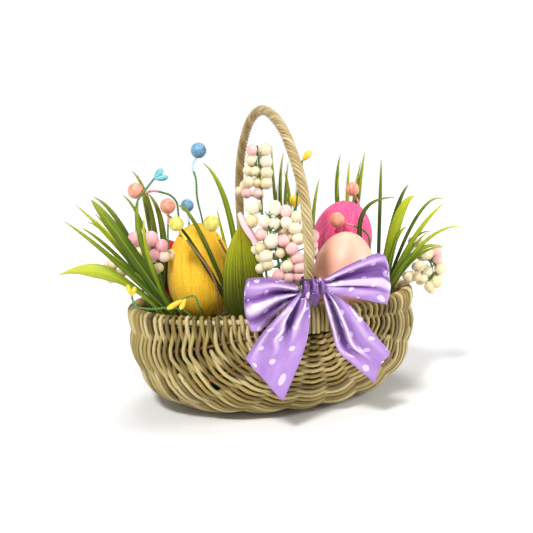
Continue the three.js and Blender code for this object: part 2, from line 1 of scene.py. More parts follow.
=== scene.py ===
# Easter basket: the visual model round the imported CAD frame. Metres, +Z up, front towards -Y.
import math

import bpy
import numpy as np
from mathutils import Matrix, Vector

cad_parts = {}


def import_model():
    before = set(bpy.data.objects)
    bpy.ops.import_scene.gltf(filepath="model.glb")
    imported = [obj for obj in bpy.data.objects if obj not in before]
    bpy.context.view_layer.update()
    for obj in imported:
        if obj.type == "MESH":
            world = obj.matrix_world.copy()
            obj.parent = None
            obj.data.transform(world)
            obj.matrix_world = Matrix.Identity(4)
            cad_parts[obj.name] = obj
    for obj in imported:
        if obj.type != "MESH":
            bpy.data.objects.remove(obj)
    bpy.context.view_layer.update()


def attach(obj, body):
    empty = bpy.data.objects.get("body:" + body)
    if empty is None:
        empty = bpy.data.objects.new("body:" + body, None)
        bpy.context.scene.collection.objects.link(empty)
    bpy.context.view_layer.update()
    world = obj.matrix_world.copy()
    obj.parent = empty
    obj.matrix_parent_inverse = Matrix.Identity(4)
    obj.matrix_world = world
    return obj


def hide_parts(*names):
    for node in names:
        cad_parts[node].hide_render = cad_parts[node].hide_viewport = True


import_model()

MM = 0.001
RNG = np.random.default_rng(7)

# ---------------------------------------------------------------- bowl dimensions, as in the CAD
RIM_LONG, RIM_SHORT, RIM_TOP, BOWL_DEPTH = 130 * MM, 105 * MM, 92 * MM, 95 * MM
SIDE_POWER, FLOOR_POWER, BELLY = 5.1, 3.3, 0.01
EAR_Z = 84 * MM              # height of the line the ribs fan out from
HOOP_INSET, HOOP_Z, HOOP_R = 6.25 * MM, 85.4 * MM, 2.2 * MM
RIBS = [-78, -60, -42, -22, 0, 22, 42, 60, 78]
RIB_R, STRAND_R = 1.3 * MM, 1.68 * MM
RIB_INSET = 4.7 * MM         # how far the ribs' middle lies under the wall surface
WEAVE_SWING = 2.7 * MM       # how far a strand swings out and in as it passes the ribs


# ================================================================ mesh helpers
def linked(name, data):
    obj = bpy.data.objects.new(name, data)
    bpy.context.scene.collection.objects.link(obj)
    return obj


def mesh_object(name, verts, faces, material, attrs=None, smooth=True):
    mesh = bpy.data.meshes.new(name)
    mesh.from_pydata(np.asarray(verts).tolist(), [], faces)
    mesh.update()
    mesh.polygons.foreach_set("use_smooth", [smooth] * len(mesh.polygons))
    for key, values in (attrs or {}).items():
        values = np.asarray(values, dtype=float)
        kind, field = ("FLOAT", "value") if values.ndim == 1 else ("FLOAT_VECTOR", "vector")
        mesh.attributes.new(key, kind, "POINT").data.foreach_set(field, values.ravel())
    mesh.materials.append(material)
    return linked(name, mesh)


def piece(obj, slot, *nodes, body="basket"):
    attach(obj, body)
    if nodes:
        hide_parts(*nodes)
    return obj


def unit(v):
    return v / np.maximum(np.linalg.norm(v, axis=-1, keepdims=True), 1e-12)


def hump(value, centre, width):
    return np.exp(-(((value - centre) / width) ** 2))


def lengths(path):
    """Distance along a path at each of its points."""
    return np.concatenate([[0], np.cumsum(np.linalg.norm(np.diff(path, axis=0), axis=1))])


def between(t, a, start, b, end):
    return (end - t) / (end - start) * a + (t - start) / (end - start) * b


def spline(points, count):
    """Centripetal Catmull-Rom curve through points, evenly spaced along its length."""
    p = np.asarray(points, dtype=float)
    p = np.vstack([2 * p[0] - p[1], p, 2 * p[-1] - p[-2]])
    knots = np.concatenate([[0], np.cumsum(np.sqrt(np.linalg.norm(np.diff(p, axis=0), axis=1)))])
    dense = []
    for i in range(1, len(p) - 2):
        k0, k1, k2, k3 = knots[i - 1 : i + 3]
        t = np.linspace(k1, k2, 24, endpoint=False)[:, None]
        first = between(t, p[i - 1], k0, p[i], k1)
        second = between(t, p[i], k1, p[i + 1], k2)
        third = between(t, p[i + 1], k2, p[i + 2], k3)
        dense.append(between(t, between(t, first, k0, second, k2), k1, between(t, second, k1, third, k3), k2))
    dense = np.vstack([*dense, p[-2][None]])
    length = lengths(dense)
    want = np.linspace(0, length[-1], count)
    return np.stack([np.interp(want, length, dense[:, k]) for k in range(3)], axis=1)


def frames(path):
    """Tangent and two cross directions along a path, turning as little as possible."""
    along = unit(np.gradient(path, axis=0))
    side = np.zeros_like(path)
    guess = np.array([0.0, 0.0, 1.0]) if abs(along[0, 2]) < 0.8 else np.array([1.0, 0.0, 0.0])
    for i, t in enumerate(along):
        guess = guess - t * guess.dot(t)
        guess /= np.linalg.norm(guess)
        side[i] = guess
    return along, side, np.cross(along, side)


def ring_faces(rings, sides):
    """Quads between closed rings of points, and triangles to the two poles that follow the rings."""
    i, j = np.arange(rings - 1)[:, None] * sides, np.arange(sides)
    k = (j + 1) % sides
    quads = np.stack([i + j, i + k, i + sides + k, i + sides + j], axis=-1).reshape(-1, 4)
    pole, last = rings * sides, (rings - 1) * sides
    first, second = (0 * j + pole, k, j), (0 * j + pole + 1, last + j, last + k)
    return quads, np.stack(first, axis=1), np.stack(second, axis=1)


class Collector:
    """Collects shapes into one mesh, with a coordinate and a tone at every vertex."""

    def __init__(self):
        self.verts, self.faces, self.coord, self.tone, self.count = [], [], [], [], 0

    def take(self, verts, faces, coord, tone):
        for part in faces:
            self.faces += (part + self.count).tolist()
        self.verts.append(verts)
        self.coord.append(coord)
        self.tone.append(tone)
        self.count += len(verts)

    def build(self, name, material, key="strand"):
        attrs = {key: np.vstack(self.coord), "tone": np.concatenate(self.tone)}
        return mesh_object(name, np.vstack(self.verts), self.faces, material, attrs)


# rounded ends of a rod, in its radii: how far out the two extra rings and the pole lie, and the rings' radii
CAP_OUT, CAP_WIDE, POLE_OUT = [0.55, 0.25], [0.35, 0.8], 0.62
GRAIN_SHIFT = 0.37           # step of the coordinate from one rod to the next, so that their grain differs


class Tubes(Collector):
    """Rods; the coordinate is across, across and along, in metres."""

    def add(self, path, radius, sides=8, tone=0.5):
        path, n = np.asarray(path, dtype=float), len(path)
        radius, tone = np.broadcast_to(radius, n), np.broadcast_to(tone, n)
        at = np.array([0, 0, *range(n), n - 1, n - 1])
        out = np.array([-CAP_OUT[0], -CAP_OUT[1], *[0.0] * n, CAP_OUT[1], CAP_OUT[0]])[:, None]
        wide = radius[at][:, None] * np.array([*CAP_WIDE, *[1.0] * n, *CAP_WIDE[::-1]])[:, None]
        along, side, across = frames(path)
        rings = path[at] + along[at] * radius[at][:, None] * out
        turn = np.linspace(0, 2 * np.pi, sides, endpoint=False)
        cos, sin = np.cos(turn), np.sin(turn)
        spokes = cos[:, None] * side[at][:, None] + sin[:, None] * across[at][:, None]
        points = rings[:, None] + wide[..., None] * spokes
        ends = [0, -1]
        poles = path[ends] + along[ends] * radius[ends][:, None] * [[-POLE_OUT], [POLE_OUT]]
        length = lengths(rings) + GRAIN_SHIFT * (len(self.verts) + 1)
        coord = np.stack([wide * cos, wide * sin, length[:, None] + 0 * turn], axis=-1).reshape(-1, 3)
        self.take(
            np.vstack([points.reshape(-1, 3), poles]), ring_faces(len(at), sides),
            np.vstack([coord, [[0, 0, length[0]], [0, 0, length[-1]]]]),
            np.concatenate([np.repeat(tone[at], sides), tone[ends]]),
        )


class Shells(Collector):
    """Thin closed plates, each from a grid of points."""

    def add(self, grid, thick, coord, tone=0.5):
        n, m = grid.shape[:2]
        half = unit(np.cross(*np.gradient(grid, axis=(0, 1)))) * (thick / 2)
        index = np.arange(n * m).reshape(n, m)
        front = np.stack([index[:-1, :-1], index[1:, :-1], index[1:, 1:], index[:-1, 1:]], axis=-1)
        front = front.reshape(-1, 4)
        edge = np.concatenate([index[0], index[1:, -1], index[-1, -2::-1], index[-2:0:-1, 0]])
        after = np.roll(edge, -1)
        rim = np.stack([edge, after, after + n * m, edge + n * m], axis=1)
        self.take(
            np.vstack([(grid + half).reshape(-1, 3), (grid - half).reshape(-1, 3)]),
            (front, front[:, ::-1] + n * m, rim),
            np.vstack([coord.reshape(-1, 3)] * 2), np.tile(np.broadcast_to(tone, (n, m)).reshape(-1), 2),
        )


def ico(level):
    """Unit icosphere as points and triangles."""
    bpy.ops.mesh.primitive_ico_sphere_add(subdivisions=level, radius=1)
    obj = bpy.context.object
    verts = np.array([v.co[:] for v in obj.data.vertices])
    faces = np.array([p.vertices[:] for p in obj.data.polygons])
    bpy.data.objects.remove(obj, do_unlink=True)
    return verts, faces


BALL = ico(4)


# ================================================================ material helpers
def rgba(colour):
    """Linear colour with alpha, from a six-digit hex code or from linear red, green and blue."""
    if isinstance(colour, str):
        c = np.array([int(colour[i : i + 2], 16) / 255 for i in (0, 2, 4)])
        colour = np.where(c <= 0.04045, c / 12.92, ((c + 0.055) / 1.055) ** 2.4)
    return (*colour, 1)


class Nodes:
    """Node tree of one material, with a method for each kind of node."""

    def __init__(self, name):
        self.mat = bpy.data.materials.new(name)
        self.mat.use_nodes = True
        self.tree = self.mat.node_tree
        self.bsdf = next(n for n in self.tree.nodes if n.type == "BSDF_PRINCIPLED")

    def put(self, socket, value):
        if isinstance(value, bpy.types.NodeSocket):
            self.tree.links.new(value, socket)
        else:
            socket.default_value = rgba(value) if socket.type == "RGBA" else value

    def add(self, kind, inputs, **props):
        node = self.tree.nodes.new("ShaderNode" + kind)
        for key, value in props.items():
            setattr(node, key, value)
        for key, value in inputs.items():
            self.put(node.inputs[key], value)
        return node

    def attr(self, name, what="Vector"):
        return self.add("Attribute", {}, attribute_name=name).outputs[what]

    def tone(self):
        return self.attr("tone", "Fac")

    def where(self):
        return self.add("TexCoord", {}).outputs["Object"]

    def noise(self, vector, scale, detail=3.0, rough=0.55):
        inputs = {"Vector": vector, "Scale": scale, "Detail": detail, "Roughness": rough}
        return self.add("TexNoise", inputs).outputs["Fac"]

    def streaks(self, vector, scale, detail=3.0, rough=0.55):
        """Noise with its own scale along each axis."""
        scaled = self.add("Mapping", {"Vector": vector, "Scale": scale}).outputs["Vector"]
        return self.noise(scaled, 1.0, detail, rough)

    def math(self, op, a, b=0.0, c=0.0, clamp=False):
        return self.add("Math", {0: a, 1: b, 2: c}, operation=op, use_clamp=clamp).outputs[0]

    def remap(self, value, lo, hi, out_lo=0.0, out_hi=1.0):
        inputs = {"Value": value, "From Min": lo, "From Max": hi, "To Min": out_lo, "To Max": out_hi}
        return self.add("MapRange", inputs).outputs["Result"]

    def ramp(self, value, *stops):
        node = self.add("ValToRGB", {"Fac": value})
        elements = node.color_ramp.elements
        while len(elements) < len(stops):
            elements.new(0.5)
        for element, (position, colour) in zip(elements, stops):
            element.position = position
            element.color = rgba(colour)
        return node.outputs["Color"]

    def mix(self, factor, a, b):
        return self.add("Mix", {0: factor, 6: a, 7: b}, data_type="RGBA").outputs[2]

    def split(self, vector):
        return self.add("SeparateXYZ", {0: vector}).outputs

    def finish(self, colour, rough, bump=None, depth=0.0, **sockets):
        if bump is not None:
            node = self.add("Bump", {"Height": bump, "Distance": depth, "Strength": 1.0})
            sockets["Normal"] = node.outputs["Normal"]
        for key, value in {"Base_Color": colour, "Roughness": rough, **sockets}.items():
            self.put(self.bsdf.inputs[key.replace("_", " ")], value)
        return self.mat


def cane(name, dark, mid, pale):
    """Peeled cane or willow: fine grain along each strand, strands differ in tone."""
    n = Nodes(name)
    strand = n.attr("strand")
    grain = n.streaks(strand, (900, 900, 38), 4.0)
    patch = n.streaks(strand, (60, 60, 22), 2.0)
    slow = n.noise(n.where(), 14.0, 2.0)
    tone = n.math("MULTIPLY_ADD", n.tone(), 0.42, n.math("MULTIPLY", patch, 0.36))
    value = n.math("ADD", tone, n.math("MULTIPLY", n.math("ADD", grain, slow), 0.13), clamp=True)
    colour = n.ramp(value, (0.22, dark), (0.5, mid), (0.80, pale))
    fine = n.streaks(strand, (2600, 2600, 120))
    bump = n.math("ADD", n.math("MULTIPLY", grain, 0.7), n.math("MULTIPLY", fine, 0.3))
    rough = n.remap(grain, 0.3, 0.7, 0.36, 0.55)
    return n.finish(colour, rough, bump, 0.00035, Coat_Weight=0.12, Coat_Roughness=0.3)


def crinkle(name, deep, mid, light, line):
    """Crinkled paper or raffia wound from pole to pole of an egg."""
    n = Nodes(name)
    egg_at = n.attr("egg")
    streak = n.streaks(egg_at, (34, 34, 1.6), 5.0, 0.65)
    fibre = n.streaks(egg_at, (60, 60, 26), 3.0, 0.6)
    value = n.math("ADD", n.math("MULTIPLY", streak, 0.45), n.math("MULTIPLY", fibre, 0.55))
    colour = n.ramp(value, (0.34, deep), (0.50, mid), (0.64, light))
    thin = n.streaks(egg_at, (19, 19, 0.8), 2.0)
    lines = n.remap(n.math("ABSOLUTE", n.math("SUBTRACT", thin, 0.5)), 0.0, 0.022, 1.0, 0.0)
    colour = n.mix(n.math("MULTIPLY", lines, 0.55, clamp=True), colour, line)
    rough = n.remap(fibre, 0.3, 0.7, 0.42, 0.68)
    return n.finish(
        colour, rough, value, 0.0014, Sheen_Weight=0.05, Sheen_Roughness=0.4, Specular_IOR_Level=0.25
    )


def smooth_egg():
    n = Nodes("blush egg")
    mottle = n.streaks(n.attr("egg"), (1.8, 1.8, 1.2), 4.0)
    speck = n.noise(n.where(), 900.0, 2.0)
    colour = n.ramp(mottle, (0.25, "e8a48c"), (0.75, "f2b9a2"))
    rough = n.remap(speck, 0.3, 0.7, 0.4, 0.5)
    return n.finish(colour, rough, speck, 0.00008, Subsurface_Weight=0.08, Subsurface_Scale=0.004)


def berry_material():
    """Frosted foam berries: tone picks the tint from yellow-green over cream to pink."""
    n = Nodes("berries")
    patch = n.noise(n.where(), 160.0, 2.0)
    value = n.math("ADD", n.tone(), n.remap(patch, 0.3, 0.7, -0.10, 0.10), clamp=True)
    tints = (0.0, "dccb98"), (0.30, "e8dcbc"), (0.50, "eee2d0"), (0.66, "efc6bd"), (0.95, "ea9fac")
    grain = n.noise(n.where(), 2600.0, 2.0)
    colour = n.mix(n.remap(grain, 0.35, 0.75, 0.22, 0.0), n.ramp(value, *tints), "d9c7a4")
    return n.finish(
        colour, 0.42, grain, 0.00018,
        Subsurface_Weight=0.18, Subsurface_Scale=0.003, Coat_Weight=0.1, Coat_Roughness=0.35,
    )


def bead_material(name, low, high):
    n = Nodes(name)
    blotch = n.noise(n.where(), 240.0, 3.0)
    speck = n.noise(n.where(), 2400.0, 1.0)
    colour = n.ramp(blotch, (0.32, low), (0.68, high))
    colour = n.mix(n.remap(speck, 0.62, 0.72, 0.0, 0.35), colour, (0.9, 0.88, 0.8))
    rough = n.remap(blotch, 0.3, 0.7, 0.38, 0.52)
    return n.finish(colour, rough, speck, 0.00008, Coat_Weight=0.08, Coat_Roughness=0.4)


def tape_material(name, dark, light):
    """Wire wound with crepe tape: slanting turns along its length."""
    n = Nodes(name)
    strand = n.attr("strand")
    x, y, z = n.split(strand)
    wrap = n.math("SINE", n.math("MULTIPLY_ADD", z, 2600.0, n.math("ARCTAN2", y, x)))
    value = n.math("MULTIPLY_ADD", wrap, 0.22, n.streaks(strand, (1500, 1500, 500)))
    return n.finish(n.ramp(value, (0.25, dark), (0.75, light)), 0.55, value, 0.00025)


def blade_material(name, dark, mid, tip):
    """Printed plastic grass: dark base, pale tip, fine veins. Its coordinate is across, along, number."""
    n = Nodes(name)
    leaf = n.attr("leaf")
    across, along, _ = n.split(leaf)
    vein = n.streaks(leaf, (16, 1.2, 3))
    patch = n.streaks(leaf, (1.2, 4, 5), 2.0)
    value = n.math(
        "ADD", n.math("MULTIPLY", along, 0.62), n.math("MULTIPLY", n.math("ADD", vein, patch), 0.24)
    )
    value = n.math("ADD", value, n.math("MULTIPLY_ADD", n.tone(), 0.34, -0.17), clamp=True)
    colour = n.ramp(value, (0.12, dark), (0.52, mid), (0.92, tip))
    middle = n.remap(n.math("ABSOLUTE", across), 0.0, 0.12, 0.45, 0.0)
    return n.finish(
        n.mix(middle, colour, tip), n.remap(vein, 0.3, 0.7, 0.40, 0.56), vein, 0.0004,
        Specular_IOR_Level=0.22, Subsurface_Weight=0.06, Subsurface_Scale=0.002,
    )


def broad_leaf_material():
    n = Nodes("broad leaf")
    leaf = n.attr("leaf")
    across, along, _ = n.split(leaf)
    off_middle = n.math("ABSOLUTE", across)
    stripes = n.streaks(leaf, (15, 0.5, 1), 4.0)
    bands = n.math("MULTIPLY", n.math("SINE", n.math("MULTIPLY", across, 42.0)), 0.08)
    shade = n.math("MULTIPLY", n.math("SUBTRACT", 1.0, along), 0.85)
    shade = n.math("ADD", shade, n.math("MULTIPLY", stripes, 0.5))
    shade = n.math("ADD", n.math("SUBTRACT", shade, 0.08), bands, clamp=True)
    colour = n.ramp(shade, (0.18, "a49c10"), (0.42, "8d9410"), (0.72, "485008"), (1.0, "2b3404"))
    # mid vein and slanting side veins
    slant = n.math("SUBTRACT", along, n.math("MULTIPLY", off_middle, 0.22))
    wave = n.math("ABSOLUTE", n.math("SINE", n.math("MULTIPLY", slant, 19.0)))
    veins = n.math(
        "MULTIPLY", n.remap(wave, 0.0, 0.07, 1.0, 0.0), n.remap(off_middle, 0.15, 0.75, 1.0, 0.0), clamp=True
    )
    lines = n.math("MAXIMUM", veins, n.remap(off_middle, 0.0, 0.05, 1.0, 0.0))
    colour = n.mix(n.math("MULTIPLY", lines, 0.6), colour, "2c4416")
    bump = n.math("ADD", n.math("MULTIPLY", stripes, 0.7), n.math("MULTIPLY", lines, -0.5))
    return n.finish(colour, n.remap(stripes, 0.3, 0.7, 0.40, 0.56), bump, 0.0009, Specular_IOR_Level=0.22)


DOT_R, DOT_BLUR, DOT_ACROSS, DOT_ALONG = 2.3 * MM, 0.12 * MM, 24 * MM, 19 * MM


def satin_material(name, low, high, painted_highlight, shadow):
    """Satin ribbon with rows of dots; tone is high on ridges, which get a painted highlight, and low in
    valleys, which get painted shade. Its coordinate is across, along, in metres.
    """
    n = Nodes(name)
    flat = n.attr("flat")
    u, v, _ = n.split(flat)

    def dots(*shift):
        squares = []
        for value, step, pitch in zip((u, v), shift, (DOT_ACROSS, DOT_ALONG)):
            off = n.math("SUBTRACT", n.math("FLOORED_MODULO", n.math("ADD", value, step), pitch), pitch / 2)
            squares.append(n.math("MULTIPLY", off, off))
        return n.remap(n.math("SQRT", n.math("ADD", *squares)), DOT_R - DOT_BLUR, DOT_R + DOT_BLUR, 1.0, 0.0)

    mask = n.math("MAXIMUM", dots(0.0, 0.0), dots(DOT_ACROSS / 2, DOT_ALONG / 2), clamp=True)
    threads = n.streaks(flat, (9000, 260, 1), 2.0)
    weft = n.streaks(flat, (260, 9000, 1), 2.0)
    slub = n.streaks(flat, (120, 40, 1))
    base = n.math("MULTIPLY_ADD", threads, 0.5, n.math("MULTIPLY", slub, 0.5))
    base = n.ramp(base, (0.3, low), (0.7, high))
    # painted highlight: the ridges of the folds are mixed towards a pale colour
    base = n.mix(n.remap(n.tone(), 0.5, 1.0, 0.0, 0.85), base, painted_highlight)
    colour = n.mix(n.math("MULTIPLY", mask, 0.85), base, "d6c9e2")
    # painted shade: the valleys of the folds are mixed towards the shadow colour
    colour = n.mix(n.remap(n.tone(), 0.5, 0.0, 0.0, 0.85), colour, shadow)
    rough = n.mix(mask, (0.24, 0.24, 0.24), (0.5, 0.5, 0.5))
    bump = n.math("MULTIPLY_ADD", mask, 0.8, n.math("MULTIPLY", weft, 0.3))
    bump = n.math("ADD", n.math("MULTIPLY", threads, 0.5), bump)
    return n.finish(
        colour, rough, bump, 0.00007,
        Sheen_Weight=0.3, Sheen_Roughness=0.25, Specular_IOR_Level=0.8, Anisotropic=0.5, Metallic=0.3,
    )


def foam_material():
    n = Nodes("foam")
    cell = n.add("TexVoronoi", {"Vector": n.where(), "Scale": 900.0}).outputs["Distance"]
    value = n.math("MULTIPLY_ADD", n.noise(n.where(), 40.0, 3.0), 0.6, n.math("MULTIPLY", cell, 0.5))
    # near-black green: partly the moss's own dark colour, partly painted shade so that the foam seen through
    # the weave's gaps reads as shade inside
    return n.finish(n.ramp(value, (0.2, "1b2a16"), (0.8, "35502c")), 0.9, cell, 0.0006)


def floor_material():
    """Pale floor that glows more with the distance, so that it runs into the white horizon."""
    n = Nodes("floor")
    where = n.where()
    colour = n.ramp(n.noise(where, 3.0, 2.0), (0.3, (0.86, 0.86, 0.86)), (0.7, (0.88, 0.88, 0.88)))
    x, y, _ = n.split(where)
    away = n.math("SQRT", n.math("ADD", n.math("MULTIPLY", x, x), n.math("MULTIPLY", y, y)))
    glow = n.remap(away, 0.35, 1.3, 0.0, 0.8)
    return n.finish(colour, 0.75, Emission_Color=(1, 1, 1), Emission_Strength=glow)


WEAVE = cane("woven willow", "4c380e", "96813f", "cdbd8a")
HANDLE = cane("handle cane", "4e380e", "9c8450", "dccca4")
RIB_CANE = cane("rib cane", "3c220c", "94521c", "b87630")
HOOP_CANE = cane("hoop cane", "8f7c4c", "bcab7a", "ddd1a6")
YELLOW_EGG = crinkle("yellow wound egg", "dc9a10", "f6c01c", "ffe462", "e88410")
MAGENTA_EGG = crinkle("magenta wound egg", "d81860", "f04484", "fc90b8", "ffc0d8")
RED_EGG = crinkle("red wound egg", "d0101e", "ff2040", "ff5068", "d81028")
BLUSH_EGG = smooth_egg()
BERRIES = berry_material()
BEADS = {
    "blue": bead_material("blue bead", "3f7398", "6f9dbb"),
    "peach": bead_material("peach bead", "cf7a5c", "e6a488"),
    "yellow": bead_material("yellow bead", "b5a634", "d6cc6a"),
}
GREEN_TAPE = tape_material("green taped wire", "1c4716", "5a8f36")
TAPES = {"green": GREEN_TAPE, "brown": tape_material("brown taped wire", "5c3e1c", "94703c")}
STEM_TAPE = tape_material("stem tape", "2f4a22", "6b8a3c")
BLADES = {
    "GRASS": blade_material("grass", "142205", "56700a", "b4bc24"),
    "PALE": blade_material("pale grass", "34480a", "7c9412", "c4ca3c"),
    "DARK": blade_material("dark grass", "0e1a05", "32480a", "8c961c"),
}
BROAD_LEAF = broad_leaf_material()
# the two last colours are painted light: a painted highlight for the folds' ridges and painted shade for
# their valleys
SATIN = satin_material("dotted satin", "8a5cac", "b690cc", "eed8f4", "562878")
# darker copy of the dotted satin: painted shade for the knot, its tongue and the band behind it
SHADED_SATIN = satin_material("shaded knot satin", "401a54", "603278", "8a5aa2", "200a30")
FOAM = foam_material()
YELLOW_BARE = bead_material("yellow bud", "d9a514", "f2d23a")
TIPS = {
    "blue": tape_material("bare blue wire", "8fc4e0", "c4e2f2"),
    "peach": tape_material("pink taped wire", "c25f6c", "e89aa0"),
    "yellow": YELLOW_BARE,
}
TURQUOISE = bead_material("turquoise bud", "4a9fb0", "7cc2cc")
PETAL = blade_material("pink petal", "eeb0b8", "f5c6cc", "f8d8da")
MOSS = blade_material("moss strands", "46521e", "7f8c3c", "b8ba72")


# ================================================================ woven wall
THETA = np.radians(np.linspace(-90, 90, 121))
FULL_ROWS, FIRST_ROW, LAST_ROW = 104, 0.04, 0.96
# pairs of short rows over the belly: the full row that they follow, and how many degrees up the left and the
# right wall they reach before they turn back
SHORT_ROWS = {
    20: (74, 70), 25: (52, 58), 31: (66, 76), 37: (56, 50), 44: (70, 66), 51: (50, 56), 58: (64, 72),
    66: (56, 60), 73: (66, 54), 80: (60, 70),
}
WRAP_R, WRAP_R_STRAND = 4.05 * MM, 1.8 * MM     # a strand's turn over the rim hoop, and its radius there
FAN_STEPS = 721


def bowl_scale(z):
    depth = np.clip((RIM_TOP - z) / BOWL_DEPTH, 0, 0.9999)
    return (1 + BELLY * 4 * depth * (1 - depth)) * (1 - depth**FLOOR_POWER) ** (1 / SIDE_POWER)


def bowl_point(angle, inset, z):
    x, y = (r * bowl_scale(z) - inset for r in (RIM_LONG, RIM_SHORT))
    return np.stack([x * np.cos(angle), y * np.sin(angle), z + 0 * angle], axis=-1)


class Wall:
    """Outer surface of the bowl, cut by half planes that fan out from the line between the handle feet."""

    def __init__(self, theta):
        alpha = np.radians(np.linspace(0.02, 179.98, FAN_STEPS))[None]
        t = theta[:, None]
        out = np.sin(alpha)
        ray = np.stack([out * np.sin(t), -np.cos(alpha) + 0 * t, -out * np.cos(t)], axis=-1)
        near, far = np.zeros(ray.shape[:2]), np.full(ray.shape[:2], 0.3)
        for _ in range(36):
            middle = (near + far) / 2
            p = ray * middle[..., None]
            z = p[..., 2] + EAR_Z
            scale = bowl_scale(z)
            across = (p[..., 0] / (RIM_LONG * scale)) ** 2 + (p[..., 1] / (RIM_SHORT * scale)) ** 2
            inside = (z > 0) & (across < 1)
            near, far = np.where(inside, middle, near), np.where(inside, far, middle)
        self.points = ray * near[..., None] + np.array([0, 0, EAR_Z])
        x, y, z = np.moveaxis(self.points, -1, 0)
        step = 0.5 * MM
        slope = (bowl_scale(z + step) - bowl_scale(z - step)) / (2 * step)
        rise = -slope / bowl_scale(z) * ((x / RIM_LONG) ** 2 + (y / RIM_SHORT) ** 2)
        side = unit(np.stack([x / RIM_LONG**2, y / RIM_SHORT**2, rise], axis=-1))
        normal = np.where((z > 0.3 * MM)[..., None], side, np.array([0.0, 0.0, -1.0]))
        reach = 15
        kernel = np.ones(2 * reach + 1) / (2 * reach + 1)
        for _ in range(2):
            padded = np.pad(normal, ((0, 0), (reach, reach), (0, 0)), mode="edge")
            normal = np.apply_along_axis(lambda c: np.convolve(c, kernel, "valid"), 1, padded)
        self.normals = unit(normal)
        length = np.cumsum(np.linalg.norm(np.gradient(self.points, axis=1), axis=-1), axis=1)
        self.share = (length - length[:, :1]) / (length[:, -1:] - length[:, :1])

    def at(self, index, share, inset):
        """Points at a share of the way from the front ear to the back ear, set in from the surface."""
        steps = np.arange(FAN_STEPS)
        where = np.array([np.interp(s, self.share[i], steps) for i, s in zip(index, share)])
        low = np.minimum(where.astype(int), FAN_STEPS - 2)
        part = (where - low)[:, None]
        p, n = (v[index, low] * (1 - part) + v[index, low + 1] * part for v in (self.points, self.normals))
        return p - unit(n) * np.asarray(inset)[:, None]


def smooth_noise(count, size, waves=5):
    """Slow random wander along a strand."""
    t = np.linspace(0, 1, count)
    total = 0
    for k in range(waves):
        total = total + RNG.normal() / (k + 1) ** 0.6 * np.sin(2 * np.pi * ((k + 0.7) * t + RNG.random()))
    return size * total / math.sqrt(waves)


def row_plan():
    """For each row: its reach in degrees up the walls and its share of the way round at every angle."""
    reach = []
    for i in range(FULL_ROWS):
        reach += [None, *[SHORT_ROWS[i]] * 2] if i in SHORT_ROWS else [None]
    degrees = np.degrees(THETA)
    weights = []
    for limits in reach:
        if limits is None:
            weights.append(np.ones_like(THETA))
            continue
        beyond = np.abs(degrees) - np.where(degrees < 0, limits[0], limits[1])
        gap = 0.75 * np.clip((9 - beyond) / 7, 0, 1)
        weights.append(gap * np.where(beyond > 0, 1, 1 + 0.35 * np.clip(-beyond / 20, 0, 1)))
    weights = np.array(weights)
    total = np.cumsum(weights, axis=0) - weights / 2
    return reach, FIRST_ROW + (LAST_ROW - FIRST_ROW) * total / weights.sum(axis=0)


def over_hoop(wall, column, share, drift):
    """Turn of a strand over the rim hoop, from the outside over the top to the inside."""
    turn = np.radians(np.linspace(25, 215, 12))
    shares = share + drift * np.linspace(0.1, 1, len(turn))
    p = wall.at(np.full(len(turn), column), shares, HOOP_INSET - WRAP_R * np.cos(turn))
    p[:, 2] = HOOP_Z + WRAP_R * np.sin(turn)
    return p


def turn_back(first, second):
    """Rounded turn from the end of one short row to the start of the next."""
    a, b, ahead = first[-1], second[0], unit(first[-1] - first[-3])
    points = [
        a, a * 0.75 + b * 0.25 + ahead * 2.0 * MM, (a + b) / 2 + ahead * 2.6 * MM,
        a * 0.25 + b * 0.75 + ahead * 2.0 * MM, b,
    ]
    return spline(np.array(points), 11)[1:-1]


def weave():
    """Rows of strands over and under the ribs; every second full row ends in turns over the rim hoop."""
    wall = Wall(THETA)
    halves = {"weave_front": Tubes(), "weave_back": Tubes()}
    degrees = np.degrees(THETA)
    swing = np.cos(np.pi * np.interp(degrees, [-90, *RIBS, 90], np.arange(-5, 6)))
    reach, share = row_plan()
    pitch = (LAST_ROW - FIRST_ROW) / FULL_ROWS
    count = len(THETA)
    everywhere = np.arange(count)
    waiting = None           # first half of a pair of short rows
    for j, limits in enumerate(reach):
        rows = halves["weave_front" if j < len(reach) // 2 else "weave_back"]
        sign = 1 if j % 2 == 0 else -1
        wander = smooth_noise(count, 0.0007)
        sway = smooth_noise(count, 0.2 * MM)
        inset = RIB_INSET + WEAVE_SWING * sign * swing + sway
        radius = STRAND_R * (1 + 0.05 * RNG.normal()) * (1 + smooth_noise(count, 0.02))
        tone = RNG.random()
        if limits is None:
            path = wall.at(everywhere, share[j] + wander, inset)
            if sign > 0:
                left = over_hoop(wall, 0, share[j, 0], pitch)
                right = over_hoop(wall, count - 1, share[j, -1], -pitch)
                path = np.vstack([left[::-1], path, right])
                radius = np.pad(radius, (len(left), len(right)), constant_values=WRAP_R_STRAND)
            rows.add(path, radius, tone=tone)
            continue
        keep = everywhere[(degrees >= -limits[0]) & (degrees <= limits[1])]
        path = wall.at(keep, (share[j] + wander)[keep], inset[keep])
        if waiting is None:
            waiting = path
            continue
        back = path[::-1]
        whole = np.vstack([waiting, turn_back(waiting, back), back, turn_back(back, waiting), waiting[:2]])
        rows.add(whole, STRAND_R, tone=tone)
        waiting = None
    piece(halves["weave_front"].build("weave_front", WEAVE), "weave", "woven_body")
    piece(halves["weave_back"].build("weave_back", WEAVE), "weave")


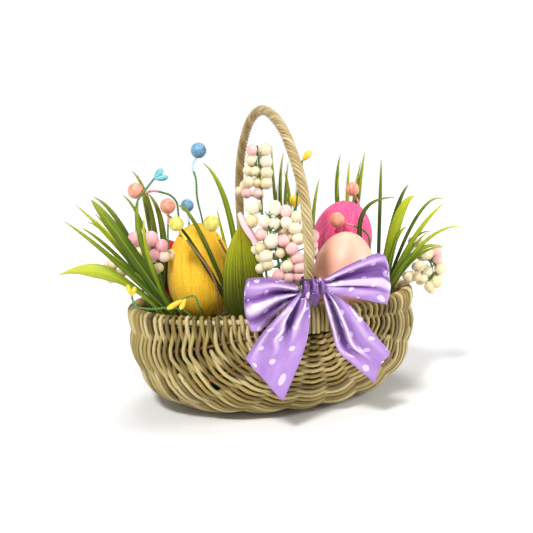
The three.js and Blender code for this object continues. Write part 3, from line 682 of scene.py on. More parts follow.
def ribs():
    """Ribs from ear to ear; the two outermost get painted shade, the darkest tone, because they lie deep
    under the wrapping.
    """
    wall = Wall(np.radians(np.array(RIBS, dtype=float)))
    rods = Tubes()
    share = np.linspace(0.055, 0.945, 90)
    for i, degrees in enumerate(RIBS):
        path = wall.at(np.full(len(share), i), share, np.full(len(share), RIB_INSET))
        # tone 0 is painted shade on the two outermost ribs; the others have a random tone
        rods.add(path, RIB_R, tone=0.0 if abs(degrees) > 70 else RNG.random())
    piece(rods.build("ribs", RIB_CANE), "rib", *[f"rib_{i + 1}" for i in range(len(RIBS))])


def hoop():
    """Split cane hoop inside the rim wrapping."""
    angle = np.linspace(0, 2 * np.pi, 181)
    rods = Tubes()
    rods.add(bowl_point(angle, HOOP_INSET, np.full_like(angle, HOOP_Z)), HOOP_R, sides=10)
    piece(rods.build("hoop", HOOP_CANE), "hoop", "rim_hoop")


def lashing(name, facing):
    """Strands laid side by side over the rim at a handle foot."""
    rods = Tubes()
    profile = [(0.8, 74), (-0.4, 83), (-0.4, 89), (1.4, 92.6), (5.5, 94.2), (9.8, 93), (12.3, 88), (12.6, 79)]
    for k in range(9):
        angle = np.array(math.radians(facing + (k - 4) * 1.65))
        shift = RNG.normal() * 0.3
        points = [bowl_point(angle, (inset + 0.3) * MM, np.array((z + shift) * MM)) for inset, z in profile]
        rods.add(spline(np.array(points), 40), 1.75 * MM, tone=RNG.random())
    piece(rods.build(name + "_strands", WEAVE), "lashing", name)


# ================================================================ handle
HANDLE_PATH = [
    (-99, 80), (-99, 92.7), (-99.5, 110), (-102, 132), (-102.5, 155), (-99, 176), (-90, 195), (-75, 214),
    (-56, 231), (-34, 243), (-12, 250), (10, 251), (32, 246.5), (52, 237), (69, 223), (82, 206), (90, 188),
    (94, 168), (95, 148), (96, 128), (98, 110), (99, 92.7), (99, 80),
]
HANDLE_STRANDS, HANDLE_LAY_R, HANDLE_STRAND_R, HANDLE_PITCH = 7, 3.05 * MM, 1.18 * MM, 32 * MM


def handle():
    middle = spline(np.array([(0, y, z) for y, z in HANDLE_PATH]) * MM, 700)
    _, side, across = frames(middle)
    length, count = lengths(middle), len(middle)
    rope = Tubes()
    for k in range(HANDLE_STRANDS):
        turn = 2 * np.pi * (k / HANDLE_STRANDS - length / HANDLE_PITCH) + smooth_noise(count, 0.10, 9)
        out = HANDLE_LAY_R + smooth_noise(count, 0.12 * MM, 9)
        path = middle + out[:, None] * (np.cos(turn)[:, None] * side + np.sin(turn)[:, None] * across)
        # random tone per strand, minus painted shade that darkens the strands towards the back foot
        shade = 0.42 + 0.42 * RNG.random() - np.clip(0.3 * length / length[-1] - 0.05, 0, 0.2)
        rope.add(path, HANDLE_STRAND_R * (1 + smooth_noise(count, 0.04, 9)), sides=9, tone=shade)
    piece(rope.build("handle", HANDLE), "handle", "handle_rope")


# ================================================================ eggs
# as in the CAD, in mm: place, axis, radius, and how far the egg reaches up and down its axis
EGGS = {
    "egg_yellow": ((-69, -23, 112), (0, 0, 1), 28, 48, 34),
    "egg_magenta": ((73, 9, 130), (0.24, -0.06, 1), 28, 38, 32),
    "egg_blush": ((45, -61, 109), (0.16, -0.04, 1), 26, 37, 31),
    "egg_red": ((-86, 38, 111), (-0.08, 0.05, 1), 22, 32, 31.5),
}
LEVELS, TURNS = 120, 240


def egg(name, material, strips, relief):
    """Egg with shallow wound strips; strips is how many go round it, relief their height in metres."""
    at, tilt, r, up, down = EGGS[name]
    at, axis = np.array(at), unit(np.array(tilt, dtype=float))
    side = unit(np.array([1.0, 0, 0]) - axis * axis[0])
    across = np.cross(axis, side)
    lat = np.linspace(-np.pi / 2, np.pi / 2, LEVELS + 1)[1:-1, None]
    lon = np.linspace(0, 2 * np.pi, TURNS, endpoint=False)[None]
    bumps = np.zeros((LEVELS - 1, TURNS))
    for _ in range(7 if strips else 0):
        k = int(strips * (0.6 + RNG.random()))
        bumps += np.sin(k * lon + 6 * RNG.random() + 0.9 * np.sin(2.2 * lat + 6 * RNG.random())) / 7
    rise = np.sin(lat) * np.where(lat > 0, up, down)
    radius = np.cos(lat) * (r + bumps * relief / MM) - 0.15
    round_axis = np.cos(lon)[..., None] * side + np.sin(lon)[..., None] * across
    grid = (at + rise[..., None] * axis + radius[..., None] * round_axis) * MM
    verts = np.vstack([grid.reshape(-1, 3), np.array([at - axis * down, at + axis * up]) * MM])
    faces = [face for part in ring_faces(LEVELS - 1, TURNS) for face in part.tolist()]
    coord = np.stack([np.cos(lon) + 0 * lat, np.sin(lon) + 0 * lat, lat + 0 * lon], axis=-1).reshape(-1, 3)
    coord = np.vstack([coord, [[0, 0, -1.57], [0, 0, 1.57]]])
    piece(mesh_object(name + "_skin", verts, faces, material, {"egg": coord}), name, name, body=name)


def clear_of_eggs(points, margin):
    """Whether all points stay outside the eggs, as they sit and as they are lifted out."""
    for at, tilt, r, up, down in EGGS.values():
        axis = unit(np.array(tilt, dtype=float))
        rel = points / MM - np.array(at)
        high = rel @ axis
        wide = np.linalg.norm(rel - high[:, None] * axis, axis=1)
        reach = np.where(high > 0, up, down)
        room = (np.abs(high) / (reach + margin)) ** 2 + (wide / (r + margin)) ** 2
        column = (high > 0) & (np.hypot(rel[:, 0], rel[:, 1]) < r + margin + 4)
        if np.any(room < 1) or np.any(column):
            return False
    return True


# ================================================================ foam and moss
FOAM_TOP, ROOT_Z, CROWN_Z = 78, 64, 82


def fill(name, count, strand, radius, margin):
    """Piece of short random strands inside the bowl that keep clear of the eggs."""
    strands, made = Tubes(), 0
    while made < count:
        path = strand() * MM
        tone = RNG.random()
        inside = (path[:, 0] / (116 * MM)) ** 2 + (path[:, 1] / (91 * MM)) ** 2 < 1
        if inside.all() and clear_of_eggs(path, margin):
            strands.add(path, radius, sides=5, tone=tone)
            made += 1
    piece(strands.build(name, MOSS), "moss")


def moss():
    """Fine strands that cover the foam between the stems and fill the gap to the wall, and a nest of curled
    strands under the magenta egg."""
    t = np.linspace(-0.5, 0.5, 8)

    def lying():
        angle, out = 2 * np.pi * RNG.random(), math.sqrt(RNG.random())
        x, y = 113 * out * math.cos(angle), 88 * out * math.sin(angle)
        turn, reach = 2 * np.pi * RNG.random(), 7 + 9 * RNG.random()
        bend, lift = RNG.normal() * 0.9, 1.0 + 4.5 * RNG.random()
        heading = turn + bend * t * 2
        z = FOAM_TOP + 0.2 + lift * np.cos(np.pi * t) + 1.2 * RNG.random() * t
        return np.stack([x + reach * t * np.cos(heading), y + reach * t * np.sin(heading), z], axis=1)

    def curled():
        angle, height = 2 * np.pi * RNG.random(), RNG.random()
        out = 19 - 3.5 * height + RNG.normal() * 0.6
        turn = angle + np.pi / 2 + RNG.normal() * 0.5
        reach = 6 + 8 * RNG.random()
        curl = 1.6 * (2 * t) ** 2
        x = 67 + out * np.cos(angle) + reach * t * np.cos(turn) - curl * np.cos(angle)
        y = 10 + out * np.sin(angle) + reach * t * np.sin(turn) - curl * np.sin(angle)
        return np.stack([x, y, FOAM_TOP + 1 + 23 * height + RNG.normal() * 4 * t], axis=1)

    fill("moss_strands", 1300, lying, 0.75 * MM, 1.4)
    fill("moss_nest", 260, curled, 0.6 * MM, 0.9)


# ================================================================ stems, beads and berries
TAPE_R = 0.85 * MM


def stem_path(root, points, count):
    return spline(np.array([(*root, ROOT_Z), (*root, FOAM_TOP + 1), *points], dtype=float) * MM, count)


# wires: root, tape, bead as x, y, z and radius, its colour, and the points of the path, in mm
WIRES = {
    "blue_tall": ((-52, 12), "green", (-56, 11, 220, 6.5), "blue", [
        (-53, 13, 120), (-57, 12, 160), (-60, 12, 179), (-60, 12, 196), (-62, 13, 207), (-59, 12, 212.5),
    ]),
    "blue_small": ((-66, 12), "green", (-69, 14, 173, 5.6), "blue", [
        (-68, 12, 120), (-69, 13, 166),
    ]),
    "peach_left": ((-78, 10), "green", (-114, 4, 189, 6.8), "peach", [
        (-78, 11, 140), (-78, 11, 168), (-79, 10, 177), (-84, 8, 183), (-91, 5, 186), (-99, 3, 188),
        (-106, 4, 187),
    ]),
    "peach_middle": ((-92, 2), "green", (-87, 9, 174, 6.6), "peach", [
        (-91, 4, 120), (-89, 8, 150), (-87, 9, 166.5),
    ]),
    "yellow_left": ((-64, -52), "brown", (-95, -69, 164, 5.8), "yellow", [
        (-65, -64, 106), (-71, -68, 125), (-79, -69, 138), (-88, -69, 151), (-92, -69, 157.5),
    ]),
    "yellow_right": ((-40, -50), "brown", (-67, -67, 162, 6.4), "yellow", [
        (-41, -51, 110), (-47, -55, 125), (-55, -58.5, 138), (-61, -64, 149), (-64, -66.3, 155.3),
    ]),
    "peach_back": ((106, 30), "green", (99, 39, 176, 6.7), "peach", [
        (107, 36, 128), (106, 37, 140), (100, 38, 148), (96, 40, 156), (105, 38, 162), (102, 39, 168),
    ]),
    "peach_front": ((82, -28), "green", (56, -25, 153, 6.6), "peach", [
        (84, -30, 120), (82, -31, 138), (74, -29, 145), (63, -26, 149.5),
    ]),
}
# wires with buds: root and the paths from it
TALL_BUD = (-110, -6), [[(-116, -9, 100), (-118, -9, 158), (-115, -7, 180), (-107, -2, 189), (-98, 4, 198)]]
RIM_BUDS = (-82, -54), [
    [(-79, -65, 92), (-83, -74, 99), (-86, -73, 107), (-92, -70, 106), (-106, -66, 99)],
    [(-90, -53, 92), (-101, -52, 96), (-110, -54, 97), (-119, -51, 97), (-127, -47, 99), (-130, -44, 104),
     (-131, -43, 115)],
]


def taped(tubes, path):
    """Wire with slightly uneven tape on it."""
    tubes.add(path, TAPE_R * (1 + smooth_noise(len(path), 0.08, 14)), sides=9, tone=RNG.random())


def balls(name, specs, material):
    """Slightly uneven round balls; specs are x, y, z, radius in mm and a tone."""
    points, faces = BALL
    verts, polys, tones = [], [], []
    for i, (x, y, z, r, tone) in enumerate(specs):
        squash = 1 + RNG.normal(size=3) * 0.018
        verts.append((points * squash * r + [x, y, z]) * MM)
        polys += (faces + i * len(points)).tolist()
        tones.append(np.full(len(points), tone))
    return mesh_object(name, np.vstack(verts), polys, material, {"tone": np.concatenate(tones)})


def wires_and_beads():
    for key, (root, tape, bead, shade, points) in WIRES.items():
        tubes = Tubes()
        path = stem_path(root, points, 110)
        taped(tubes, path)
        piece(tubes.build("wire_" + key + "_tape", TAPES[tape]), "wire", "wire_" + key)
        piece(balls("bead_" + key + "_skin", [(*bead, 0.5)], BEADS[shade]), "bead_" + shade, "bead_" + key)
        tip = Tubes()
        inside = path[-1] + (np.array(bead[:3]) * MM - path[-1]) * 0.4
        tip.add(np.vstack([path[int(len(path) * 0.92):], inside]), TAPE_R * 1.15, sides=9)
        piece(tip.build("tip_" + key, TIPS[shade]), "wire")


def stems(name, root, paths, count, *node):
    tubes = Tubes()
    for points in paths:
        taped(tubes, stem_path(root, points, count))
    piece(tubes.build(name, GREEN_TAPE), "wire", *node)


def drops(petals, radius, sides, ends):
    """Teardrop buds, each from a thin start to a round end."""
    t = np.linspace(0, 1, 14)
    for start, end in ends:
        path = np.array(start) + (np.array(end) - np.array(start)) * t[:, None]
        wide = radius * MM * np.sqrt(np.clip(np.sin(np.pi * t**1.5), 0, 1)) + 0.25 * MM
        petals.add(path * MM, wide, sides=sides, tone=RNG.random())


def buds():
    stems("wire_bud_tall_tape", *TALL_BUD, 140, "wire_bud_tall")
    petals = Tubes()
    drops(petals, 2.5, 14, [((-98, 4, 198), (-90, 3, 206)), ((-98, 4, 198), (-86, 2, 199))])
    piece(petals.build("buds_blue", TURQUOISE), "bead_blue")
    stems("wire_bud_rim_tape", *RIM_BUDS, 150, "wire_bud_rim")
    petals = Tubes()
    drops(petals, 1.9, 12, [
        ((-94, -69.5, 105), (-107, -66, 98)), ((-92, -70, 106), (-97, -69.5, 97)),
        ((-131, -43.5, 108), (-133, -42, 117)), ((-131, -43.5, 107), (-127, -45, 115))])
    drops(petals, 2.8, 12, [
        ((35, 0, 206), (43, -2, 214)), ((33, 22, 163), (31, 21, 176)), ((34, 22, 163), (37, 20, 175))])
    piece(petals.build("buds_yellow", YELLOW_BARE), "bead_yellow")
    stems("bud_stems", (24, 22), [
        [(28, 20, 120), (33, 22, 164)], [(26, 12, 120), (30, 6, 170), (35, 0, 206)]], 60)


# sprays: root, stem path, berries as x, y, z, radius, and their tints, as in TINTS
SPRAYS = {
    "berries_tall": (
        (6, 34), [(6, 36, 120), (7, 40, 170), (6, 40, 222)], [
            (1, 41, 218, 4.8), (13, 38, 218, 5.6), (0, 42, 209, 4.8), (13, 38, 207, 5.6), (-4, 43, 200, 4),
            (3, 42, 199, 4.6), (13, 38, 197, 5.4), (-4, 43, 189, 5.2), (12, 38, 187, 5.4), (4, 41, 188, 4),
            (-6, 44, 179, 4.6), (4, 41, 178, 4.6),
        ], "pccwcccccypp"),
    "berries_front": (
        (-14, -66), [(-13, -68, 110), (-18, -74, 140), (-26, -73, 165), (-33, -71, 176)], [
            (-34, -71, 173, 5.6), (-26, -74, 161, 4.8), (-35, -71, 162, 4.6), (-18, -76, 159, 4.4),
            (-17, -76, 170, 4.8), (-9, -79, 159, 4.8), (-21, -75, 145, 5.6), (-26, -74, 133, 5.1),
            (-25, -74, 126, 4.4), (-10, -79, 124, 4.8), (-30, -72, 140, 4.2), (-29, -73, 151, 4.4),
            (-12, -78, 145, 4.8), (-6, -80, 138, 5), (-2, -81, 130, 4.8), (-1, -82, 122, 4.8),
            (-17, -76, 117, 4.8), (-9, -78, 115, 4.6), (-1, -81, 115, 4.4), (-9, -79, 168, 4.6),
            (-1, -81, 163, 4.4), (-3, -81, 154, 4.8), (-1, -81, 146, 4.6), (-15, -77, 135, 3.6),
            (11, -83, 147, 4.8), (10, -83, 140, 4.6), (9, -83, 133, 4.6),
        ], "wwywwwwwycypppppppppcccypp"),
    "berries_left": (
        (-100, -20), [(-103, -28, 115), (-108, -33, 140), (-114, -32, 154)], [
            (-122, -30, 152, 5.6), (-110, -33, 151, 6), (-102, -36, 145, 4.8), (-108, -34, 138, 4.7),
            (-120, -31, 141, 4), (-101, -36, 136, 4.4), (-106, -34, 127, 4),
        ], "PPPPcoy"),
    "berries_left_outer": (
        (-110, -14), [(-113, -14, 94), (-120, -15, 106), (-132, -18, 116), (-140, -20, 127)], [
            (-141, -20, 131, 4.2), (-137, -21, 122, 4.6), (-132, -16, 125, 4),
        ], "yyc"),
    "berries_right": (
        (98, -30), [(100, -32, 94), (108, -38, 106), (122, -45, 116), (133, -48, 112), (136, -50, 96)], [
            (124, -46, 128, 4.4), (131, -48, 119, 5.6), (139, -51, 121, 5), (140, -51, 113, 4.4),
            (124, -47, 108, 4.4), (131, -48, 103, 4.6), (142, -52, 105, 5.4), (121, -46, 99, 4.4),
            (114, -43, 99, 4.4), (138, -50, 93, 5.6), (132, -49, 89, 4.4), (127, -47, 97, 4.2),
        ], "wcppcccycyyc"),
}
# y yellow-green, c cream, w white, o peach, p pink, P deep pink
TINTS = {"y": 0.04, "c": 0.26, "w": 0.44, "o": 0.62, "p": 0.78, "P": 0.94}


def sprays():
    """Each berry on a twig from the stem, with three thin bracts, and a smaller filler berry behind it."""
    for name, (root, stem, berries, tints) in SPRAYS.items():
        path = stem_path(root, stem, 70)
        rods = Tubes()
        rods.add(path, np.linspace(1.25, 0.9, len(path)) * MM)
        for x, y, z, r in berries:
            at = np.array([x, y, z]) * MM
            joint = path[np.argmin(np.linalg.norm(path - (at - [0, 0, 6 * MM]), axis=1))]
            middle = (joint + at) / 2 + np.array([0, 0, -0.8 * MM])
            rods.add(spline(np.array([joint, middle, at]), 10), 0.55 * MM, sides=6, tone=0.3)
            for _ in range(3):
                way = unit(RNG.normal(size=3) + [0, -0.5, 0.6])
                start = joint + (at - joint) * 0.35
                bract = np.array([start, start + way * 2.5 * MM, start + way * 4.6 * MM + [0, 0, 0.8 * MM]])
                rods.add(spline(bract, 6), np.linspace(0.75, 0.35, 6) * MM, sides=5, tone=0.2)
        piece(rods.build(name + "_stems", STEM_TAPE), "wire")
        specs = [
            (*place, r * 1.08, TINTS[tint] + RNG.normal() * 0.03) for (*place, r), tint in zip(berries, tints)
        ]
        specs += [
            (x + 2.5 * RNG.normal(), y + 6.5, z - 2 + 2.5 * RNG.normal(), r * 0.95, 0.15 + 0.2 * RNG.random())
            for x, y, z, r in berries
        ]
        piece(balls(name + "_balls", specs, BERRIES), "berry", name)


# ================================================================ blades and leaves
# tufts: root, material, and for each blade the point at its bend, its tip and its width, in mm
TUFTS = {
    "grass_left_front": ((-92, -42), "GRASS", [
        ((-140, -43, 135), (-177, -38, 171), 8), ((-134, -31, 143), (-166, -22, 182), 7),
        ((-138, -37, 139), (-164, -31, 164), 6), ((-135, -53, 153), (-156, -57, 186), 13),
        ((-119, -57, 144), (-121, -60, 182), 9),
    ]),
    "leaf_low_left": ((-98, -33), "PALE", [
        ((-143, -29, 123), (-185, -8, 125), 14),
    ]),
    "grass_left_back": ((-99, 14), "DARK", [
        ((-133, -4, 142), (-156, 1, 166), 6), ((-126, 2, 155), (-149, 8, 186), 8),
        ((-108, 14, 152), (-124, 18, 186), 6), ((-101, 13, 164), (-114, 18, 206), 8),
        ((-92, 14, 150), (-102, 20, 186), 10), ((-104, 20, 166), (-110, 16, 202), 6),
    ]),
    "leaf_tall_centre": ((-28, 4), "PALE", [
        ((-34, 7, 166), (-52, 14, 209), 9), ((-38, 12, 138), (-42, 16, 169), 5),
    ]),
    "grass_centre": ((-48, -58), "DARK", [
        ((-83, -57, 148), (-101, -58, 171), 6), ((-74, -53, 156), (-90, -52, 176), 6),
        ((-78, -62, 138), (-93, -63, 154), 6),
    ]),
    "grass_back": ((33, 55), "GRASS", [
        ((25, 55, 170), (25, 55, 222), 6), ((32, 60, 165), (38, 60, 215), 7),
        ((37, 63, 155), (43, 62, 206), 6), ((38, 51, 145), (34, 49, 198), 6),
        ((41, 48, 140), (43, 43, 184), 5),
    ]),
    "leaf_handle": ((30, -20), "PALE", [
        ((34, -22, 148), (41, -25, 190), 7),
    ]),
    "grass_right_back": ((95, 44), "GRASS", [
        ((84, 42, 160), (88, 38, 210), 8), ((99, 53, 155), (103, 52, 203), 7),
        ((92, 50, 130), (93, 47, 167), 5), ((108, 49, 160), (116, 44, 211), 8),
    ]),
    "grass_right_middle": ((86, -38), "DARK", [
        ((95, -31, 160), (98, -30, 203), 6), ((72, -38, 150), (103, -46, 170), 7),
        ((102, -42, 149), (117, -43, 180), 8),
    ]),
    "grass_right_front": ((85, -48), "GRASS", [
        ((97, -59, 148), (111, -65, 171), 13), ((114, -57, 134), (141, -62, 163), 8),
        ((119, -50, 150), (145, -54, 166), 5), ((116, -68, 130), (149, -76, 143), 6),
        ((107, -64, 120), (133, -72, 127), 8),
    ]),
}


def blade_grid(root, bend, tip, width, facing, wide, along_count=26, across=7, fold=0.34, wave=0.0):
    """Grid of points over a folded blade, with its coordinates; mm in, metres out."""
    root, bend, tip = (np.array(p, dtype=float) for p in (root, bend, tip))
    control = 2 * bend - 0.5 * root - 0.5 * tip
    s = np.linspace(0, 0.995, along_count)[:, None]
    path = (1 - s) ** 2 * root + 2 * s * (1 - s) * control + s**2 * tip
    along = unit(np.gradient(path, axis=0))
    side = unit(np.cross(along, unit(np.array(facing, dtype=float))))
    out = np.cross(side, along)
    t = np.linspace(-1, 1, across)
    half = (width / 2) * np.array([wide(float(a)) for a in s[:, 0]])[:, None]
    ripple = wave * np.sin(9 * s + 3 * t) * np.abs(t) ** 2
    lift = -fold * half * np.abs(t) ** 1.3 * 2 + ripple
    grid = path[:, None] + half[..., None] * t[:, None] * side[:, None] + lift[..., None] * out[:, None]
    coord = np.stack([np.broadcast_to(t, lift.shape), np.broadcast_to(s, lift.shape), 0 * lift], axis=-1)
    return grid * MM, coord


def narrow(s):
    return max(1.3 * (0.45 + 1.6 * s) * (1 - s), 0.03)


def paddle(s):
    return max((0.34 + 0.75 * hump(s, 0.66, 0.24)) * (1 - s**5), 0.03)


def ovate(s):
    return min(1, 0.55 + 1.8 * s) * (1 - s**3.2) ** 0.9


def petal(s):
    return math.sin(math.pi * (0.08 + 0.84 * s)) ** 0.6


def crown(tubes, x, y):
    """Short moulded stub that a tuft grows from."""
    path = np.stack([np.full(8, x), np.full(8, y), np.linspace(ROOT_Z, CROWN_Z, 8)], axis=1) * MM
    tubes.add(path, np.linspace(2.4, 1.9, 8) * MM, sides=12, tone=0.3)


def companion(root, bend, tip, facing):
    """A thin blade beside a main one: the first of six tries that clears the eggs, for Shells.add."""
    start = np.array([*root, CROWN_Z - 3], dtype=float)
    made = []
    for _ in range(6):
        reach = 0.70 + 0.26 * RNG.random()
        shift = RNG.normal(size=3) * [3.5, 2.5, 2.0]
        new_bend = start + (np.array(bend) - start) * reach + shift
        new_tip = start + (np.array(tip) - start) * reach + 1.8 * shift
        width = 2.6 + 1.6 * RNG.random()
        foot = start + [2 * RNG.normal(), 1.5 * RNG.normal(), 0]
        grid, coord = blade_grid(foot, new_bend, new_tip, width, facing, narrow)
        coord = coord + [0, 0, RNG.random() * 9]
        if clear_of_eggs(grid.reshape(-1, 3), 0.5):
            made.append((grid, 0.4 * MM, coord))
    return made[:1]


def tufts():
    """Tufts of blades; those of GRASS have a thin companion beside each blade."""
    stubs = Tubes()
    for name, (root, finish, blades) in TUFTS.items():
        x, y = root
        plates = Shells()
        for i, (bend, tip, width) in enumerate(blades):
            lean = math.radians(17 + 18 * math.sin(2.4 * i + x))
            facing = unit(np.array([-math.sin(lean), -math.cos(lean), 0.15]))
            slim = width * (0.66 if width < 12 else 0.85)
            shape = paddle if name == "leaf_low_left" else narrow
            grid, coord = blade_grid((x, y, CROWN_Z - 3), bend, tip, slim, facing, shape)
            coord = coord + [0, 0, RNG.random() * 9]
            plates.add(grid, 0.45 * MM, coord, tone=RNG.random())
            for blade in companion(root, bend, tip, facing) if finish == "GRASS" else []:
                plates.add(*blade, tone=RNG.random())
        slot = "leaf" if name.startswith("leaf") else "grass"
        piece(plates.build(name + "_blades", BLADES[finish], "leaf"), slot, name)
        crown(stubs, x, y)
    crown(stubs, -40, -62)
    piece(stubs.build("tuft_crowns", STEM_TAPE), "grass")


def single_leaves():
    """The broad leaf in front, and a pink paper petal beside the front berries."""
    for name, material, slot, node, thick, blade, more in (
        ("leaf_broad_blade", BROAD_LEAF, "leaf", ["leaf_broad"], 0.5 * MM,
         ((-40, -62, CROWN_Z - 3), (-42, -62, 118), (-42, -61, 158), 38, (0.1, -1, 0.1), ovate, 60, 31),
         {"fold": 0.07, "wave": 0.5}),
        ("petal_pink", PETAL, "berry", [], 0.4 * MM,
         ((-31, -72, 142), (-38, -69, 157), (-43, -65, 169), 7, (0.2, -1, 0.2), petal, 20, 9), {}),
    ):
        plates = Shells()
        grid, coord = blade_grid(*blade, **more)
        plates.add(grid, thick, coord)
        piece(plates.build(name, material, "leaf"), slot, *node)


# ================================================================ bow
TOWARD = np.array([-math.sin(math.radians(17)), -math.cos(math.radians(17)), 0.0])     # to the camera
RIBBON_WIDTH, RIBBON_THICK = 38 * MM, 0.35 * MM


def curve_through(points, count):
    """Catmull-Rom curve through points along the first axis, at even steps of the parameter."""
    p = np.asarray(points, dtype=float)
    p = np.concatenate([2 * p[:1] - p[1:2], p, 2 * p[-1:] - p[-2:-1]])
    u = np.linspace(0, len(p) - 3 - 1e-9, count)
    i = u.astype(int)
    t = (u - i).reshape(-1, *[1] * (p.ndim - 1))
    a, b, c, d = p[i], p[i + 1], p[i + 2], p[i + 3]
    return 0.5 * (2 * b + (c - a) * t + (2 * a - 5 * b + 4 * c - d) * t**2 + (3 * b - a - 3 * c + d) * t**3)


def surface_through(stations, count, across):
    """Grid through stations of points: count points along, across points over each."""
    grid = curve_through(stations, count)
    return np.swapaxes(curve_through(np.swapaxes(grid, 0, 1), across), 0, 1)


def painted_fold_light(rise, window=21, reach=5.0):
    """Tone of a folded sheet for painted light: above a half where it stands out from what is round it, for a
    painted highlight, below in valleys, for painted shade.
    """
    around, half = np.array(rise, dtype=float), window // 2
    kernel = np.ones(window) / window
    for axis in (0, 1):
        padded = np.pad(around, [(half, half) if k == axis else (0, 0) for k in (0, 1)], mode="edge")
        around = np.apply_along_axis(lambda c: np.convolve(c, kernel, "valid"), axis, padded)
    return np.clip(0.5 + (rise - around) / reach, 0, 1)


def sheet(name, material, grid, coord, tone, flat, node=None, area=None):
    """Piece of ribbon; its flat area is measured on the grid, gathered as it is, if it is not given."""
    plates = Shells()
    plates.add(grid, RIBBON_THICK, coord, tone)
    obj = piece(plates.build(name, material, "flat"), "satin", *([node] if node else []))
    if area is None:
        du, dv = np.gradient(grid, axis=(0, 1))
        area = min(float(np.linalg.norm(np.cross(du, dv), axis=-1)[:-1, :-1].sum()), flat[0] * flat[1])


def satin_sheet(name, stations, folds, count, trim=None):
    """Ribbon through stations of points across it, in mm, with folds(s, t) pushed out towards the camera."""
    across = 61
    grid = surface_through(stations, count, across)
    s, t = np.linspace(0, 1, count)[:, None], np.linspace(0, 1, across)[None]
    rise = folds(s, t)
    grid = grid + rise[..., None] * TOWARD
    if trim is not None:
        along = unit(grid[-1] - grid[-4])
        grid[-3:] += (trim(t[0])[None, :] * np.array([0.33, 0.66, 1.0])[:, None])[..., None] * along
    grid *= MM
    over = np.cumsum(np.linalg.norm(np.diff(grid, axis=1), axis=-1), axis=1)
    over = np.concatenate([np.zeros((count, 1)), over], axis=1)
    over -= over[:, across // 2][:, None]
    down = lengths(grid[:, across // 2])
    coord = np.stack([over, np.broadcast_to(down[:, None], over.shape), 0 * over], axis=-1)
    coord += np.array([RNG.random() * DOT_ACROSS, RNG.random() * DOT_ALONG, 0])
    # tone for painted light: highlight on the folds' ridges, shade in their valleys
    tone = painted_fold_light(np.broadcast_to(rise, (count, across)))
    flat = (RIBBON_WIDTH, float(down[-1]))
    sheet(name + "_ribbon", SATIN, grid, coord, tone, flat, name)


def loop_round(front, back_shift, bulge=1.5):
    """Stations of a whole loop: out along the front, round the end and back behind."""
    front = np.array(front, dtype=float)
    reach = unit(front[-1].mean(axis=0) - front[0].mean(axis=0))
    turn = front[-1] + reach * bulge - TOWARD * back_shift * 0.5
    behind = front[::-1] - TOWARD * back_shift
    behind[-1] = front[0] - TOWARD * 2.5
    behind[-2] = front[1] - TOWARD * back_shift * 0.8
    return np.concatenate([front, turn[None], behind])


def loop_folds(shape):
    """Folds of a loop from shape(out, near, t): out grows from the knot to the end, near fades."""

    def folds(s, t):
        out = np.clip(s * 2, 0, 1)
        front = np.clip((0.52 - s) / 0.04, 0, 1)
        near = np.clip(1.02 - out, 0, 1) ** 0.7 * np.clip(out / 0.08, 0, 1)
        return front * shape(out, near, t) + (1 - front) * 1.2 * np.sin(np.pi * t)

    return folds


LOOP_LEFT = [
    [(-12, -114, 111), (-13, -114, 110), (-13, -114, 108), (-13, -114, 107), (-12, -114, 106)],
    [(-22, -114, 116), (-22, -113, 112), (-23, -113, 108), (-24, -113, 104), (-25, -113, 99)],
    [(-32, -113, 119), (-33, -113, 114), (-34, -113, 107), (-34, -112, 100), (-35, -112, 91)],
    [(-43, -112, 121), (-44, -112, 113), (-46, -112, 104), (-46, -112, 94), (-44, -112, 83)],
    [(-52, -112, 121), (-54, -112, 114), (-55, -112, 103), (-54, -112, 92), (-51, -112, 82)],
]


def left_folds(out, near, t):
    pleats = near * (5.0 * hump(t, 0.16, 0.10) - 7.5 * hump(t, 0.42, 0.08) + 4.0 * hump(t, 0.60, 0.10))
    pleats = pleats - 4.0 * near * hump(t, 0.80, 0.06) + 8.0 * hump(out, 0.60, 0.22) * hump(t, 0.55, 0.20)
    return pleats + 2.0 * hump(out, 0.93, 0.05) * np.sin(np.pi * t)


LOOP_RIGHT = [
    [(4, -115, 115), (5, -115, 114), (5, -115, 112), (5, -115, 111), (5, -115, 109)],
    [(19, -117, 122), (20, -117, 118), (20, -117, 114), (19, -118, 110), (17, -119, 104)],
    [(36, -118, 128), (37, -118, 122), (37, -119, 115), (34, -121, 108), (29, -123, 101)],
    [(50, -119, 132), (52, -119, 124), (52, -120, 115), (47, -123, 106), (42, -124, 97)],
    [(54, -121, 131), (57, -121, 122), (57, -122, 112), (55, -124, 103), (52, -125, 94)],
]


def right_folds(out, near, t):
    edge = 0.42 + 0.12 * out
    lip = 6.5 * np.clip((t - edge) / 0.05, 0, 1) * np.clip((1.04 - t) / 0.4, 0, 1) ** 0.7
    lip = lip * np.clip((1.0 - out) / 0.18, 0, 1) ** 0.6 * np.clip(out / 0.12, 0, 1) ** 0.6
    crease = 2.6 * hump(t, edge + 0.27 - 0.06 * out, 0.035) * hump(out, 0.35, 0.35)
    return near * (3.2 * hump(t, 0.10, 0.10) - 5.0 * hump(t, 0.33, 0.10)) + lip - crease


TAIL_LEFT = [
    [(-12, -116, 110), (-11, -117, 110), (-10, -117, 110), (-10, -117, 110), (-9, -117, 109)],
    [(-26, -116, 99), (-21, -117, 100), (-17, -118, 100), (-12, -118, 99), (-7, -118, 97)],
    [(-39, -115, 87), (-32, -116, 88), (-26, -118, 88), (-18, -119, 87), (-8, -120, 89)],
    [(-49, -113, 75), (-42, -115, 75), (-33, -118, 74), (-23, -120, 74), (-12, -122, 73)],
    [(-57, -112, 64), (-49, -114, 60), (-41, -117, 56), (-31, -119, 55), (-19, -122, 56)],
    [(-58, -112, 62), (-53, -114, 54), (-46, -116, 45), (-40, -118, 36), (-33, -120, 27)],
]


